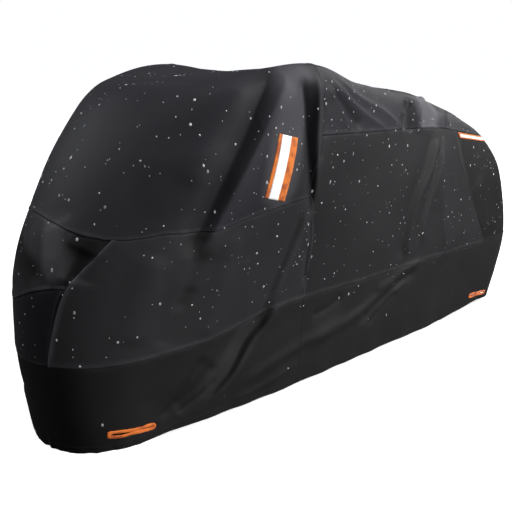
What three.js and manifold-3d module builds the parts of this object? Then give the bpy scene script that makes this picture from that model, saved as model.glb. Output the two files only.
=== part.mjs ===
import * as THREE from 'three'
import createModule from 'manifold-3d'

// Motorcycle cover, as it hangs over a touring motorcycle. Millimetres. +X is the front,
// +Y the rider's left and +Z up. The lowest point of the hem is at z = 0.

const solids = await createModule()
solids.setup()

// Cloth, hem and seams
const clothThickness = 2
const hemThickness = 4
const seamGap = 0.6

// Stations along the cover, measured from its middle
const stationX = { fork: 820, bars: 455, middle: 80, seat: -420 }

// Where each level's outline starts and ends, and how long its rounded nose and tail are
const outlineColumns = ['noseX', 'noseRound', 'tailX', 'tailRound']
const outlines = {
  ridge: [640, 170, -800, 150],
  crown: [820, 330, -920, 240],
  peak: [965, 450, -1010, 280],
  rail: [1108, 560, -1145, 330],
  bib: [1222, 560, -1290, 360],
  waist: [1298, 420, -1352, 345],
  band: [1318, 300, -1365, 300],
  skirt: [1304, 265, -1358, 275],
  hem: [1285, 255, -1320, 230],
}

// Half width and height of each level at the stations
const stationColumns = ['nose', 'fork', 'bars', 'middle', 'seat', 'tail']
const halfWidths = {
  ridge: [0, 0, 0, 0, 0, 0],
  crown: [235, 240, 250, 220, 170, 150],
  peak: [400, 410, 420, 330, 262, 225],
  rail: [420, 425, 438, 368, 315, 280],
  bib: [400, 392, 412, 355, 338, 320],
  waist: [330, 330, 350, 335, 330, 330],
  band: [262, 268, 302, 312, 318, 330],
  skirt: [240, 256, 288, 296, 300, 302],
  hem: [230, 246, 274, 282, 286, 270],
}
const heights = {
  ridge: [1178, 1184, 1192, 1148, 1110, 1008],
  crown: [1172, 1180, 1204, 1152, 1102, 998],
  peak: [1120, 1142, 1204, 1134, 1060, 950],
  rail: [975, 980, 988, 974, 958, 872],
  bib: [778, 772, 800, 790, 775, 730],
  waist: [590, 585, 590, 580, 575, 540],
  band: [316, 308, 368, 366, 370, 372],
  skirt: [165, 158, 188, 190, 190, 195],
  hem: [4, 6, 10, 12, 14, 30],
}

// Where the upright seams cross each level. The nose seam is a share of the quarter turn
// from the nose to the side; the side and tail seams are distances from the middle.
const seamColumns = ['noseTurn', 'sideX', 'tailX']
const seams = {
  ridge: [0.62, 430, -600],
  crown: [0.62, 425, -610],
  peak: [0.58, 420, -630],
  rail: [0.52, 430, -670],
  bib: [0.444, 440, -712],
  waist: [0.33, 370, -822],
  band: [0.31, 347, -930],
  skirt: [0.31, 345, -940],
  hem: [0.31, 345, -950],
}

// Cells between neighbouring upright seams, from the nose to the tail
const cellsToSeam = { nose: 5, side: 15, tail: 20, end: 9 }

// Rows of cells between neighbouring levels, as the share of the way down each starts at
const rowShares = {
  ridge: [0, 1 / 3, 2 / 3],
  crown: [0, 1 / 3, 2 / 3],
  peak: [0, 0.25, 0.5, 0.75],
  rail: [0, 0.25, 0.5, 0.75],
  bib: [0, 0.25, 0.5, 0.75],
  waist: [0, 0.25, 0.5, 0.75],
  band: [0, 1 / 3, 2 / 3],
  skirt: [0, 0.3, 0.6, 0.84],
}

// Folds: each follows a path over the cloth and rises from it, or sinks where the rise is
// negative. Left and right are its half widths as seen from outside, walking along the path.
const foldColumns = ['rise', 'left', 'right', 'path']
const folds = {
  besideStrip: [-26, 38, 45, [[620, 421, 1155], [740, 404, 940], [855, 361, 700], [960, 312, 535]]],
  underStrip: [12, 48, 52, [[560, 432, 1165], [595, 434, 985], [705, 391, 760]]],
  hoodRidge: [14, 45, 45, [[670, 413, 1130], [765, 387, 1020], [860, 364, 900], [990, 327, 735]]],
  hoodTrough: [-10, 55, 55, [[715, 395, 1125], [820, 360, 1000], [895, 339, 920]]],
  barDrop: [-26, 26, 26, [[468, 436, 1130], [455, 439, 1005], [447, 432, 910], [420, 400, 765]]],
  kneeTrough: [-12, 24, 28, [[430, 401, 760], [462, 368, 655], [490, 338, 540]]],
  kneeRidge: [11, 20, 20, [[445, 395, 740], [472, 344, 570], [498, 307, 410]]],
  overlapEdge: [24, 24, 90, [[480, 301, 380], [577, 287, 314], [672, 271, 184], [780, 255, 90]]],
  overlapPit: [-16, 40, 20, [[450, 301, 360], [545, 290, 300], [640, 272, 180], [745, 255, 80]]],
  wheelRidge: [10, 28, 24, [[787, 262, 240], [851, 253, 158], [959, 239, 98], [1018, 233, 52]]],
  noseWedge: [14, 30, 60, [[1216, 90, 775], [1235, 125, 690], [1251, 150, 590]]],
  nosePit: [-16, 30, 28, [[1175, 205, 735], [1205, 185, 690], [1235, 165, 610]]],
  noseSlant: [-12, 30, 30, [[1245, -113, 671], [1279, 49, 633], [1268, 118, 590]]],
  forkTrough: [-10, 40, 40, [[1046, 299, 720], [1106, 275, 631], [1141, 256, 537]]],
  forkRidge: [9, 36, 42, [[1002, 322, 719], [1063, 297, 610], [1103, 273, 508]]],
  fenderSwell: [10, 45, 45, [[1112, 261, 418], [1050, 273, 388], [986, 272, 359]]],
  screenEdge: [-6, 30, 30, [[896, -87, 1146], [841, 66, 1158], [794, 289, 1155]]],
  tankRidge: [9, 24, 24, [[330, 425, 1150], [213, 392, 1056], [38, 356, 1020], [-47, 350, 984]]],
  tankTrough: [-10, 26, 26, [[342, 422, 1145], [123, 365, 1085], [-57, 343, 1018], [-180, 329, 1007]]],
  seatRidge: [11, 26, 26, [[240, 382, 1148], [-148, 325, 1038], [-292, 297, 1044], [-512, 193, 1064]]],
  seatPit: [-12, 24, 24, [[-368, 276, 1051], [-276, 318, 1002], [-229, 333, 963]]],
  seatFacet: [14, 50, 50, [[-420, 298, 1018], [-480, 284, 1006], [-540, 270, 1000]]],
  pannierTrough: [-13, 28, 44, [[-405, 331, 872], [-337, 340, 739], [-272, 325, 493], [-240, 317, 388]]],
  pannierRidge: [12, 24, 22, [[-430, 335, 813], [-370, 334, 638], [-340, 323, 440]]],
  tailSwell: [9, 34, 34, [[-829, 325, 714], [-920, 329, 592], [-1008, 331, 410]]],
  skirtSweep: [17, 26, 26, [[-387, 318, 370], [-282, 308, 277], [24, 297, 190], [136, 291, 137]]],
  skirtHollow: [-12, 24, 24, [[-430, 314, 325], [-249, 302, 210], [-90, 298, 150]]],
  skirtSecond: [11, 26, 26, [[-86, 312, 348], [88, 302, 259], [233, 295, 207], [345, 290, 171]]],
  farStrip: [-20, 42, 42, [[640, -418, 1150], [750, -400, 935], [850, -362, 705], [935, -320, 560]]],
  farHood: [12, 48, 48, [[690, -410, 1120], [800, -380, 1000], [900, -350, 850]]],
  farBar: [-22, 28, 28, [[462, -437, 1125], [450, -438, 1000], [440, -425, 850]]],
  farKnee: [10, 26, 26, [[440, -400, 760], [480, -350, 600], [510, -305, 430]]],
  farOverlap: [18, 60, 30, [[500, -300, 360], [600, -285, 270], [700, -265, 150]]],
  farFork: [-9, 42, 42, [[1040, -300, 730], [1090, -278, 640], [1120, -262, 540]]],
  farTank: [9, 26, 26, [[320, -423, 1140], [160, -380, 1050], [0, -350, 1000]]],
  farSeat: [-10, 30, 30, [[-260, -310, 1040], [-320, -330, 980], [-330, -338, 900]]],
  farPannier: [12, 26, 26, [[-450, -335, 850], [-400, -335, 690], [-360, -325, 470]]],
  farSweep: [14, 28, 28, [[-420, -318, 350], [-300, -306, 260], [-80, -298, 190], [60, -294, 130]]],
  farTail: [-9, 36, 36, [[-800, -326, 780], [-860, -330, 640], [-900, -332, 480]]],
}

// Gathers that the elastic leaves at the hem
const gather = { depth: 4, pitch: 190, reach: 150 }

// Reflective strips: an orange backing with a white tape along it
const backingThickness = 1
const tapeThickness = 0.8
const layerGap = 0.6
const frontStripCorners = [[623, 1005], [534, 985], [565, 794], [652, 804]]
const tapeShare = { from: 0.25, to: 0.64 }
const rearStrip = { edgeInset: 5, tapeInset: 15 }

// Lock holes: slack slits near the hem, bound in orange. Along is measured towards the tail.
const bindingThickness = 4.4
const bindingWidth = 8.5
const slitColumns = ['along', 'middle', 'half']
const slitSections = [
  [-88, 0, 8],
  [-80, 0, 13],
  [-45, 1, 16],
  [0, 6, 15],
  [38, 13, 12],
  [66, 20, 13],
  [82, 22, 8],
]
const lockHoles = [
  { name: 'lock_hole_front_left', x: 1072, side: 1, z: 58, level: 'hem' },
  { name: 'lock_hole_front_right', x: 1072, side: -1, z: 58, level: 'hem' },
  { name: 'lock_hole_rear_left', x: -1015, side: 1, z: 68, level: 'hem' },
  { name: 'lock_hole_rear_right', x: -1015, side: -1, z: 68, level: 'hem' },
]

const colours = { cloth: 0x2c2c2e, hood: 0x34343a, orange: 0xe8731c, white: 0xf2f2ee }

// Turns a table with column names into rows with named values
function named(columns, table) {
  const rows = {}
  for (const [name, values] of Object.entries(table)) {
    rows[name] = Object.fromEntries(columns.map((column, i) => [column, values[i]]))
  }
  return rows
}

const outlineOf = named(outlineColumns, outlines)
const widthOf = named(stationColumns, halfWidths)
const heightOf = named(stationColumns, heights)
const seamOf = named(seamColumns, seams)
const foldOf = named(foldColumns, folds)
const levelNames = Object.keys(outlines)

// Smooth curve through the points that never overshoots them
function curveThrough(xs, ys, x) {
  const last = xs.length - 1
  const at = Math.min(Math.max(x, xs[0]), xs[last])
  const rates = xs.slice(1).map((end, i) => (ys[i + 1] - ys[i]) / (end - xs[i]))
  const slopeAt = (i) => {
    if (i === 0 || i === last || rates[i - 1] * rates[i] <= 0) return 0
    return (2 * rates[i - 1] * rates[i]) / (rates[i - 1] + rates[i])
  }
  let i = 0
  while (i < last - 1 && at >= xs[i + 1]) i += 1
  const span = xs[i + 1] - xs[i]
  const t = (at - xs[i]) / span
  return (1 + 2 * t) * (1 - t) ** 2 * ys[i]
    + t * (1 - t) ** 2 * span * slopeAt(i)
    + t * t * (3 - 2 * t) * ys[i + 1]
    + t * t * (t - 1) * span * slopeAt(i + 1)
}

// Point of a level's left outline. The turn runs from 0 at the nose over 1 and 2, where the
// rounded ends meet the side, to 3 at the middle of the tail.
function outlinePoint(name, turn) {
  const { noseX, noseRound, tailX, tailRound } = outlineOf[name]
  const width = widthOf[name]
  const height = heightOf[name]
  const noseSide = noseX - noseRound
  const tailSide = tailX + tailRound
  const noseAngle = Math.min(turn, 1) * Math.PI / 2
  const tailAngle = Math.max(turn - 2, 0) * Math.PI / 2
  let x = noseSide + (tailSide - noseSide) * (turn - 1)
  if (turn < 1) x = noseSide + noseRound * Math.cos(noseAngle)
  if (turn > 2) x = tailSide - tailRound * Math.sin(tailAngle)
  const { fork, bars, middle, seat } = stationX
  const forkX = Math.min(fork, noseX - 60)
  const half = curveThrough(
    [tailSide, seat, middle, bars, fork, Math.max(noseSide, fork + 1)],
    [width.tail, width.seat, width.middle, width.bars, width.fork, width.nose], x)
  const z = curveThrough(
    [tailX, seat, middle, bars, forkX, noseX],
    [height.tail, height.seat, height.middle, height.bars, height.fork, height.nose], x)
  return new THREE.Vector3(x, half * Math.sin(noseAngle) * Math.cos(tailAngle), z)
}

function turnAt(name, x) {
  const { noseX, noseRound, tailX, tailRound } = outlineOf[name]
  const noseSide = noseX - noseRound
  const tailSide = tailX + tailRound
  if (x > noseSide) return Math.acos(Math.min((x - noseSide) / noseRound, 1)) / (Math.PI / 2)
  if (x < tailSide) return 2 + Math.asin(Math.min((tailSide - x) / tailRound, 1)) / (Math.PI / 2)
  return 1 + (x - noseSide) / (tailSide - noseSide)
}

// Points of a level's left outline, evenly spaced between neighbouring upright seams
function levelPoints(name) {
  const { noseTurn, sideX, tailX } = seamOf[name]
  const ends = [0, noseTurn, turnAt(name, sideX), turnAt(name, tailX), 3]
  const points = []
  Object.values(cellsToSeam).forEach((count, part) => {
    const samples = 240
    const from = ends[part]
    const step = (ends[part + 1] - from) / samples
    const lengths = [0]
    for (let i = 1; i <= samples; i += 1) {
      const near = outlinePoint(name, from + step * (i - 1))
      lengths.push(lengths[i - 1] + near.distanceTo(outlinePoint(name, from + step * i)))
    }
    let i = 0
    for (let cell = 0; cell < count; cell += 1) {
      const target = lengths[samples] * cell / count
      while (i < samples - 1 && lengths[i + 1] < target) i += 1
      const share = (target - lengths[i]) / (lengths[i + 1] - lengths[i])
      points.push(outlinePoint(name, from + step * (i + share)))
    }
  })
  points.push(outlinePoint(name, 3))
  return points
}

function between(before, start, end, after, t) {
  return start.clone().multiplyScalar(2)
    .addScaledVector(end.clone().sub(before), t)
    .addScaledVector(before.clone().multiplyScalar(2).addScaledVector(start, -5)
      .addScaledVector(end, 4).sub(after), t * t)
    .addScaledVector(start.clone().multiplyScalar(3).addScaledVector(end, -3)
      .sub(before).add(after), t ** 3)
    .multiplyScalar(0.5)
}

function mirrored(point) {
  return new THREE.Vector3(point.x, -point.y, point.z)
}

// The draped surface as rows of nodes. Columns run from the middle of the tail along the right
// side to the nose, at column halfColumns, and back along the left side.
const halfColumns = Object.values(cellsToSeam).reduce((sum, count) => sum + count, 0)
const ringColumns = halfColumns * 2
const levelRow = {}

function drapedRows() {
  const levels = levelNames.map(levelPoints)
  const rows = []
  levelNames.forEach((name, k) => {
    levelRow[name] = rows.length
    for (const share of rowShares[name] ?? [0]) {
      rows.push(levels[k].map((start, i) => {
        if (share === 0) return start.clone()
        const end = levels[k + 1][i]
        const before = k > 0 ? levels[k - 1][i] : mirrored(end)
        const after = k + 2 < levels.length ? levels[k + 2][i] : end.clone().multiplyScalar(2).sub(start)
        return between(before, start, end, after, share)
      }))
    }
  })
  return rows.map((row) => row.slice(1).reverse().map(mirrored).concat(row.slice(0, -1)))
}

// The ridge row runs twice over the same points, and the ring closes at the tail
function nodeId(row, column) {
  const around = ((column % ringColumns) + ringColumns) % ringColumns
  const once = row === 0 && around < halfColumns ? (ringColumns - around) % ringColumns : around
  return row * ringColumns + once
}

const drape = drapedRows()
const rowCount = drape.length - 1
const nodes = new Map()
drape.forEach((row, r) => row.forEach((point, c) => nodes.set(nodeId(r, c), point)))

function cellTriangles(row, column) {
  const a = nodeId(row, column)
  const b = nodeId(row, column + 1)
  const c = nodeId(row + 1, column + 1)
  const d = nodeId(row + 1, column)
  return [[a, c, b], [a, d, c]].filter((t) => new Set(t).size === 3)
}

function nodeNormals() {
  const normals = new Map([...nodes.keys()].map((id) => [id, new THREE.Vector3()]))
  for (let row = 0; row < rowCount; row += 1) {
    for (let column = 0; column < ringColumns; column += 1) {
      for (const triangle of cellTriangles(row, column)) {
        const [a, b, c] = triangle.map((id) => nodes.get(id))
        const area = b.clone().sub(a).cross(c.clone().sub(a))
        triangle.forEach((id) => normals.get(id).add(area))
      }
    }
  }
  normals.forEach((normal) => normal.normalize())
  return normals
}

function closestOnPath(path, point) {
  let best = { distance: Infinity }
  let walked = 0
  for (let i = 0; i + 1 < path.length; i += 1) {
    const step = path[i + 1].clone().sub(path[i])
    const length = step.length()
    const share = THREE.MathUtils.clamp(point.clone().sub(path[i]).dot(step) / (length * length), 0, 1)
    const offset = point.clone().sub(path[i].clone().addScaledVector(step, share))
    if (offset.length() < best.distance) {
      best = { distance: offset.length(), offset, step, walked: walked + share * length }
    }
    walked += length
  }
  return { ...best, share: best.walked / walked }
}

function smoothPath(points) {
  const corners = points.map((point) => new THREE.Vector3(...point))
  return new THREE.CatmullRomCurve3(corners).getPoints(points.length * 5)
}

// Lifts the nodes along their normals by every fold and by the gathers of the hem
function raiseFolds() {
  const normals = nodeNormals()
  const rises = new Map([...nodes.keys()].map((id) => [id, 0]))
  for (const { rise, left, right, path } of Object.values(foldOf)) {
    const curve = smoothPath(path)
    const reach = 2.5 * Math.max(left, right)
    nodes.forEach((point, id) => {
      const close = closestOnPath(curve, point)
      if (close.distance > reach) return
      const normal = normals.get(id)
      const onLeft = normal.clone().cross(close.step).dot(close.offset) > 0
      const width = onLeft ? left : right
      const taper = THREE.MathUtils.smoothstep(Math.min(close.share, 1 - close.share), 0, 0.2)
      rises.set(id, rises.get(id) + rise * taper * Math.exp(-((close.distance / width) ** 2)))
    })
  }
  nodes.forEach((point, id) => {
    const low = THREE.MathUtils.clamp(1 - point.z / gather.reach, 0, 1)
    const wave = Math.sin(2 * Math.PI * point.x / gather.pitch + Math.sin(point.x / 97))
    rises.set(id, rises.get(id) + gather.depth * low * wave)
  })
  nodes.forEach((point, id) => point.addScaledVector(normals.get(id), rises.get(id)))
}

raiseFolds()
const normals = nodeNormals()

function signedColumn(column) {
  return halfColumns + column
}

// Directions in which the border nodes of a set of triangles move to make room for a seam
function borderInsets(triangles) {
  const edges = new Map()
  for (const [a, b, c] of triangles) {
    for (const [from, to] of [[a, b], [b, c], [c, a]]) edges.set(`${from},${to}`, [from, to])
  }
  const border = [...edges.values()].filter(([from, to]) => !edges.has(`${to},${from}`))
  const insets = new Map()
  for (const [from, to] of border) {
    const along = nodes.get(to).clone().sub(nodes.get(from))
    for (const id of [from, to]) {
      const inward = normals.get(id).clone().cross(along).normalize()
      insets.set(id, [...(insets.get(id) ?? []), inward])
    }
  }
  const moves = new Map()
  insets.forEach((sides, id) => {
    const sum = sides.reduce((total, side) => total.add(side), new THREE.Vector3())
    moves.set(id, sum.divideScalar(1 + sides[0].dot(sides[1])))
  })
  return { border, moves }
}

// Closed sheet over some rows and columns of the surface: its outer face lies lift above the
// surface, and the thickness may differ from row to row
function sheetMesh({ rows, columns, lift = 0, thickness = clothThickness, inset = seamGap / 2 }) {
  const triangles = []
  for (let row = rows[0]; row < rows[1]; row += 1) {
    for (const [from, to] of columns) {
      for (let column = from; column < to; column += 1) {
        triangles.push(...cellTriangles(row, signedColumn(column)))
      }
    }
  }
  const { border, moves } = borderInsets(triangles)
  const used = [...new Set(triangles.flat())]
  const index = new Map(used.map((id, i) => [id, i]))
  const outer = used.map((id) => {
    const point = nodes.get(id).clone().addScaledVector(normals.get(id), lift)
    return moves.has(id) ? point.addScaledVector(moves.get(id), inset) : point
  })
  const inner = used.map((id, i) => {
    const row = Math.floor(id / ringColumns)
    const depth = typeof thickness === 'function' ? thickness(row) : thickness
    return outer[i].clone().addScaledVector(normals.get(id), -depth)
  })
  const count = used.length
  const faces = []
  for (const [a, b, c] of triangles) {
    faces.push(index.get(a), index.get(b), index.get(c))
    faces.push(index.get(a) + count, index.get(c) + count, index.get(b) + count)
  }
  for (const [from, to] of border) {
    const a = index.get(from)
    const b = index.get(to)
    faces.push(b, a, a + count, b, a + count, b + count)
  }
  return new solids.Mesh({
    numProp: 3,
    vertProperties: new Float32Array([...outer, ...inner].flatMap((point) => point.toArray())),
    triVerts: new Uint32Array(faces),
  })
}

function sheet(options) {
  return solids.Manifold.ofMesh(sheetMesh(options))
}

// Closed prism over a flat outline, from depth below its frame's origin to depth above it
function prism(outline, origin, across, up, depth) {
  const out = across.clone().cross(up)
  const count = outline.length
  const ring = (offset) => outline.map(([u, v]) => origin.clone()
    .addScaledVector(across, u).addScaledVector(up, v).addScaledVector(out, offset))
  const faces = THREE.ShapeUtils.triangulateShape(outline.map(([u, v]) => new THREE.Vector2(u, v)), [])
  const triangles = []
  for (const [a, b, c] of faces) {
    triangles.push(a + count, b + count, c + count, a, c, b)
  }
  for (let i = 0; i < count; i += 1) {
    const j = (i + 1) % count
    triangles.push(i, j, j + count, i, j + count, i + count)
  }
  return solids.Manifold.ofMesh(new solids.Mesh({
    numProp: 3,
    vertProperties: new Float32Array([...ring(-depth), ...ring(depth)].flatMap((point) => point.toArray())),
    triVerts: new Uint32Array(triangles),
  }))
}

const group = new THREE.Group()
group.name = 'motorcycle_cover'

function addSolid(name, solid, colour) {
  const mesh = solid.getMesh()
  const geometry = new THREE.BufferGeometry()
  geometry.setAttribute('position', new THREE.BufferAttribute(new Float32Array(mesh.vertProperties), 3))
  geometry.setIndex(new THREE.BufferAttribute(new Uint32Array(mesh.triVerts), 1))
  geometry.computeVertexNormals()
  const material = new THREE.MeshStandardMaterial({ color: colour, roughness: 0.7, metalness: 0 })
  const object = new THREE.Mesh(geometry, material)
  object.name = name
  group.add(object)
}

// Columns of the upright seams, counted from the nose
const noseSeam = cellsToSeam.nose
const sideSeam = noseSeam + cellsToSeam.side
const tailSeam = sideSeam + cellsToSeam.tail
const noseJoin = levelRow.waist + 1
const hemRow = rowCount - 1

// Panels
const toTheTail = (from) => [[-halfColumns, -from], [from, halfColumns]]
const panels = [
  { name: 'hood', rows: ['ridge', 'bib'], columns: [[-sideSeam, sideSeam]], colour: colours.hood },
  { name: 'rear_top', rows: ['ridge', 'rail'], columns: toTheTail(sideSeam), colour: colours.hood },
  { name: 'nose_upper', rows: ['bib', noseJoin], columns: [[-noseSeam, noseSeam]] },
  { name: 'nose_lower', rows: [noseJoin, 'band'], columns: [[-noseSeam, noseSeam]] },
  { name: 'front_side_left', rows: ['bib', 'band'], columns: [[noseSeam, sideSeam]] },
  { name: 'front_side_right', rows: ['bib', 'band'], columns: [[-sideSeam, -noseSeam]] },
  { name: 'rear_side_left', rows: ['rail', 'band'], columns: [[sideSeam, tailSeam]] },
  { name: 'rear_side_right', rows: ['rail', 'band'], columns: [[-tailSeam, -sideSeam]] },
  { name: 'tail_panel', rows: ['rail', 'band'], columns: toTheTail(tailSeam) },
]
const rowOf = (place) => levelRow[place] ?? place
for (const { name, rows, columns, colour } of panels) {
  addSolid(name, sheet({ rows: rows.map(rowOf), columns }), colour ?? colours.cloth)
}

// Skirt: a front and a rear length below the band seam, with the lock holes cut out
const clothOrHem = (row) => (row >= hemRow ? hemThickness : clothThickness)
const skirts = [
  { name: 'skirt_front', columns: [[-sideSeam, sideSeam]] },
  { name: 'skirt_rear', columns: toTheTail(sideSeam) },
]

function slitOutline(grow) {
  const rows = slitSections.map((values) => named(slitColumns, { row: values }).row)
  const last = rows.length - 1
  const reach = (row, i) => row.along + (i === 0 ? -grow : 0) + (i === last ? grow : 0)
  const upper = rows.map((row, i) => [reach(row, i), row.middle + Math.max(row.half + grow, 1.5)])
  const lower = rows.map((row, i) => [reach(row, i), row.middle - Math.max(row.half + grow, 1.5)])
  return lower.concat(upper.reverse())
}

// Frame of a lock hole: across runs along the hem, so that across, up and outward form a set
function lockFrame({ x, side, z, level }) {
  const turn = turnAt(level, x)
  const here = outlinePoint(level, turn)
  const ahead = outlinePoint(level, turn - 0.01)
  const along = ahead.sub(here).setZ(0).normalize()
  const across = new THREE.Vector3(-along.x, -along.y * side, 0).multiplyScalar(side)
  const up = new THREE.Vector3(0, 0, 1)
  return { origin: new THREE.Vector3(here.x, here.y * side, z), across, up, flip: side }
}

const cutters = lockHoles.map((hole) => {
  const { origin, across, up, flip } = lockFrame(hole)
  const towardsTail = across.x * flip < 0 ? 1 : -1
  const turned = (outline) => {
    const placed = outline.map(([u, v]) => [u * flip * towardsTail, v])
    return flip * towardsTail > 0 ? placed : placed.reverse()
  }
  const shape = (grow) => prism(turned(slitOutline(grow)), origin, across, up, 60)
  return { name: hole.name, hole: shape(seamGap), outer: shape(0), inner: shape(-bindingWidth) }
})

for (const { name, columns } of skirts) {
  const whole = sheet({ rows: [levelRow.band, rowCount], columns, thickness: clothOrHem })
  const cut = cutters.reduce((solid, { hole }) => solid.subtract(hole), whole)
  addSolid(name, cut, colours.cloth)
}

const bindingBand = sheet({
  rows: [levelRow.skirt, rowCount],
  columns: [[-halfColumns, halfColumns]],
  lift: (bindingThickness - clothThickness) / 2,
  thickness: bindingThickness,
  inset: 2,
})
for (const { name, outer, inner } of cutters) {
  addSolid(name, bindingBand.intersect(outer.subtract(inner)), colours.orange)
}

// Front strips, on the band of cloth below each mirror
const backingLift = layerGap + backingThickness
const tapeLift = backingLift + layerGap + tapeThickness
const hoodSide = (side, lift, thickness) => sheet({
  rows: [levelRow.peak, levelRow.bib],
  columns: side > 0 ? [[noseSeam, sideSeam]] : [[-sideSeam, -noseSeam]],
  lift,
  thickness,
})

function stripOutline(from, to) {
  const [topFore, topAft, lowAft, lowFore] = frontStripCorners.map((c) => new THREE.Vector2(...c))
  return [
    topFore.clone().lerp(topAft, from), topFore.clone().lerp(topAft, to),
    lowFore.clone().lerp(lowAft, to), lowFore.clone().lerp(lowAft, from),
  ].map((corner) => corner.toArray())
}

for (const [place, side] of [['left', 1], ['right', -1]]) {
  const across = new THREE.Vector3(-side, 0, 0)
  const up = new THREE.Vector3(0, 0, 1)
  const origin = new THREE.Vector3(0, 400 * side, 0)
  const cutter = (from, to) => {
    const outline = stripOutline(from, to).map(([x, z]) => [-x * side, z])
    return prism(side > 0 ? outline.reverse() : outline, origin, across, up, 150)
  }
  addSolid(`strip_${place}_backing`,
    hoodSide(side, backingLift, backingThickness).intersect(cutter(0, 1)), colours.orange)
  addSolid(`strip_${place}_tape`,
    hoodSide(side, tapeLift, tapeThickness).intersect(cutter(tapeShare.from, tapeShare.to)),
    colours.white)
}

// Rear strip, across the top of the tail panel
const rearStripCells = { rows: [levelRow.rail, levelRow.rail + 1], columns: toTheTail(tailSeam + 1) }
addSolid('strip_rear_backing', sheet({
  ...rearStripCells, lift: backingLift, thickness: backingThickness, inset: rearStrip.edgeInset,
}), colours.orange)
addSolid('strip_rear_tape', sheet({
  ...rearStripCells, lift: tapeLift, thickness: tapeThickness, inset: rearStrip.tapeInset,
}), colours.white)

// The hem's lowest point stands on the floor, and the cover is centred over the origin
const bounds = new THREE.Box3().setFromObject(group)
const shift = bounds.getCenter(new THREE.Vector3()).setZ(bounds.min.z).negate()
group.children.forEach((object) => object.geometry.translate(shift.x, shift.y, shift.z))

export default group
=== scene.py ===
import itertools
import math

import bpy
import numpy as np
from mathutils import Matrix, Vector
from mathutils.bvhtree import BVHTree


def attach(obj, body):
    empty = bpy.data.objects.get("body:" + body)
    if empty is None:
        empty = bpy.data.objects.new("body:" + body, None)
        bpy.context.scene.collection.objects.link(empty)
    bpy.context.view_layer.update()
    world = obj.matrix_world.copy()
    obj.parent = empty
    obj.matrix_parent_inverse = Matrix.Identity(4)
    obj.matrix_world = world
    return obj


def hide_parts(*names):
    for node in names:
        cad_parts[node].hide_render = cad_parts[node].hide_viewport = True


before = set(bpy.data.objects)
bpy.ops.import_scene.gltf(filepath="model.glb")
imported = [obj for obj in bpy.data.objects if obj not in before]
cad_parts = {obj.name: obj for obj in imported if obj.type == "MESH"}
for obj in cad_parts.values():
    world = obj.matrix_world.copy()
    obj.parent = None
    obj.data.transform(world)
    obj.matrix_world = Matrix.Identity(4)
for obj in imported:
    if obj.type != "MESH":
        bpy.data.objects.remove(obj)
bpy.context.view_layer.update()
mm = 0.001
scene = bpy.context.scene
coverPlace = np.array((23.647, -4.140, -4.119))  # from the tables' origin to the middle of the cover's box


# Camera, floor and light

camera = {"place": (2.2254, 1.994, 1.2084), "heading": 226.5, "down": 15.2, "lens": 49.22}
studio = {
    "air": (0.95, 0.96, 1.0),
    "airStrength": 0.07,
    "seenStrength": 1.05,
    "floorHalf": 30.0,
    "floorColour": (0.95, 0.95, 0.95, 1.0),
    "floorSmudge": (0.90, 0.90, 0.90, 1.0),
    "floorBounce": 0.12,
    # metres from the middle where the floor's glow for the camera starts and stops to grow, and the
    # glow there; there is none under the cover, in a rounded box of these half sizes
    "glow": (1.5, 4.0, 0.62, 1.05),
    "underCover": (1.27, 0.275),
    "shadeEdge": (0.72, 1.0),
    "lampDistance": 8.0,
    "lampSize": 2.6,
    # direction in degrees, height in degrees, power, colour
    "lamps": {
        "side_softbox": (116, 35, 370, (1.0, 1.0, 1.0)),
        "low_softbox": (116, 8, 330, (1.0, 1.0, 1.0)),
        "rake_softbox": (146, 33, 200, (1.0, 1.0, 1.0)),
        "back_softbox": (188, 30, 100, (1.0, 1.0, 1.0)),
        "rim_softbox": (315, 35, 230, (0.95, 0.97, 1.0)),
        "front_softbox": (25, 30, 110, (0.96, 0.97, 1.0)),
        "top_softbox": (0, 90, 160, (0.98, 0.98, 1.0)),
    },
    "aim": (0.0, 0.0, 0.6),
}


def linkNew(name, data):
    thing = bpy.data.objects.new(name, data)
    scene.collection.objects.link(thing)
    return thing


def placeCamera():
    lens = bpy.data.cameras.new("photo_camera")
    lens.lens = camera["lens"]
    lens.sensor_width = 36
    lens.clip_end = 200
    view = linkNew("photo_camera", lens)
    view.location = camera["place"]
    view.rotation_euler = (math.radians(90 - camera["down"]), 0, math.radians(camera["heading"] - 90))
    scene.camera = view


def placeLamps():
    for name, (heading, up, power, colour) in studio["lamps"].items():
        data = bpy.data.lights.new(name, "AREA")
        data.shape = "DISK"
        data.size = studio["lampSize"]
        data.energy = power
        data.color = colour
        lamp = linkNew(name, data)
        turn, lift = math.radians(heading), math.radians(up)
        away = Vector((math.cos(turn) * math.cos(lift), math.sin(turn) * math.cos(lift), math.sin(lift)))
        lamp.location = Vector(studio["aim"]) + studio["lampDistance"] * away
        lamp.rotation_euler = away.to_track_quat("Z", "Y").to_euler()


placeCamera()
placeLamps()
scene.view_settings.view_transform = "Standard"
scene.view_settings.look = "None"
print("stage: camera and lamps")


# Node trees: sockets that can be used in Python sums, and one way to add any node

class Wire:
    def __init__(self, graph, node, socket):
        self.graph = graph
        self.node = node
        self.socket = socket

    def also(self, name):
        return Wire(self.graph, self.node, self.node.outputs[name])

    def sum(self, operation, first, second):
        return self.graph.add("ShaderNodeMath", {"operation": operation}, {0: first, 1: second})

    def __add__(self, other):
        return self.sum("ADD", self, other)

    def __radd__(self, other):
        return self.sum("ADD", other, self)

    def __sub__(self, other):
        return self.sum("SUBTRACT", self, other)

    def __rsub__(self, other):
        return self.sum("SUBTRACT", other, self)

    def __mul__(self, other):
        return self.sum("MULTIPLY", self, other)

    def __rmul__(self, other):
        return self.sum("MULTIPLY", other, self)

    def __pow__(self, other):
        return self.sum("POWER", self, other)


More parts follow.
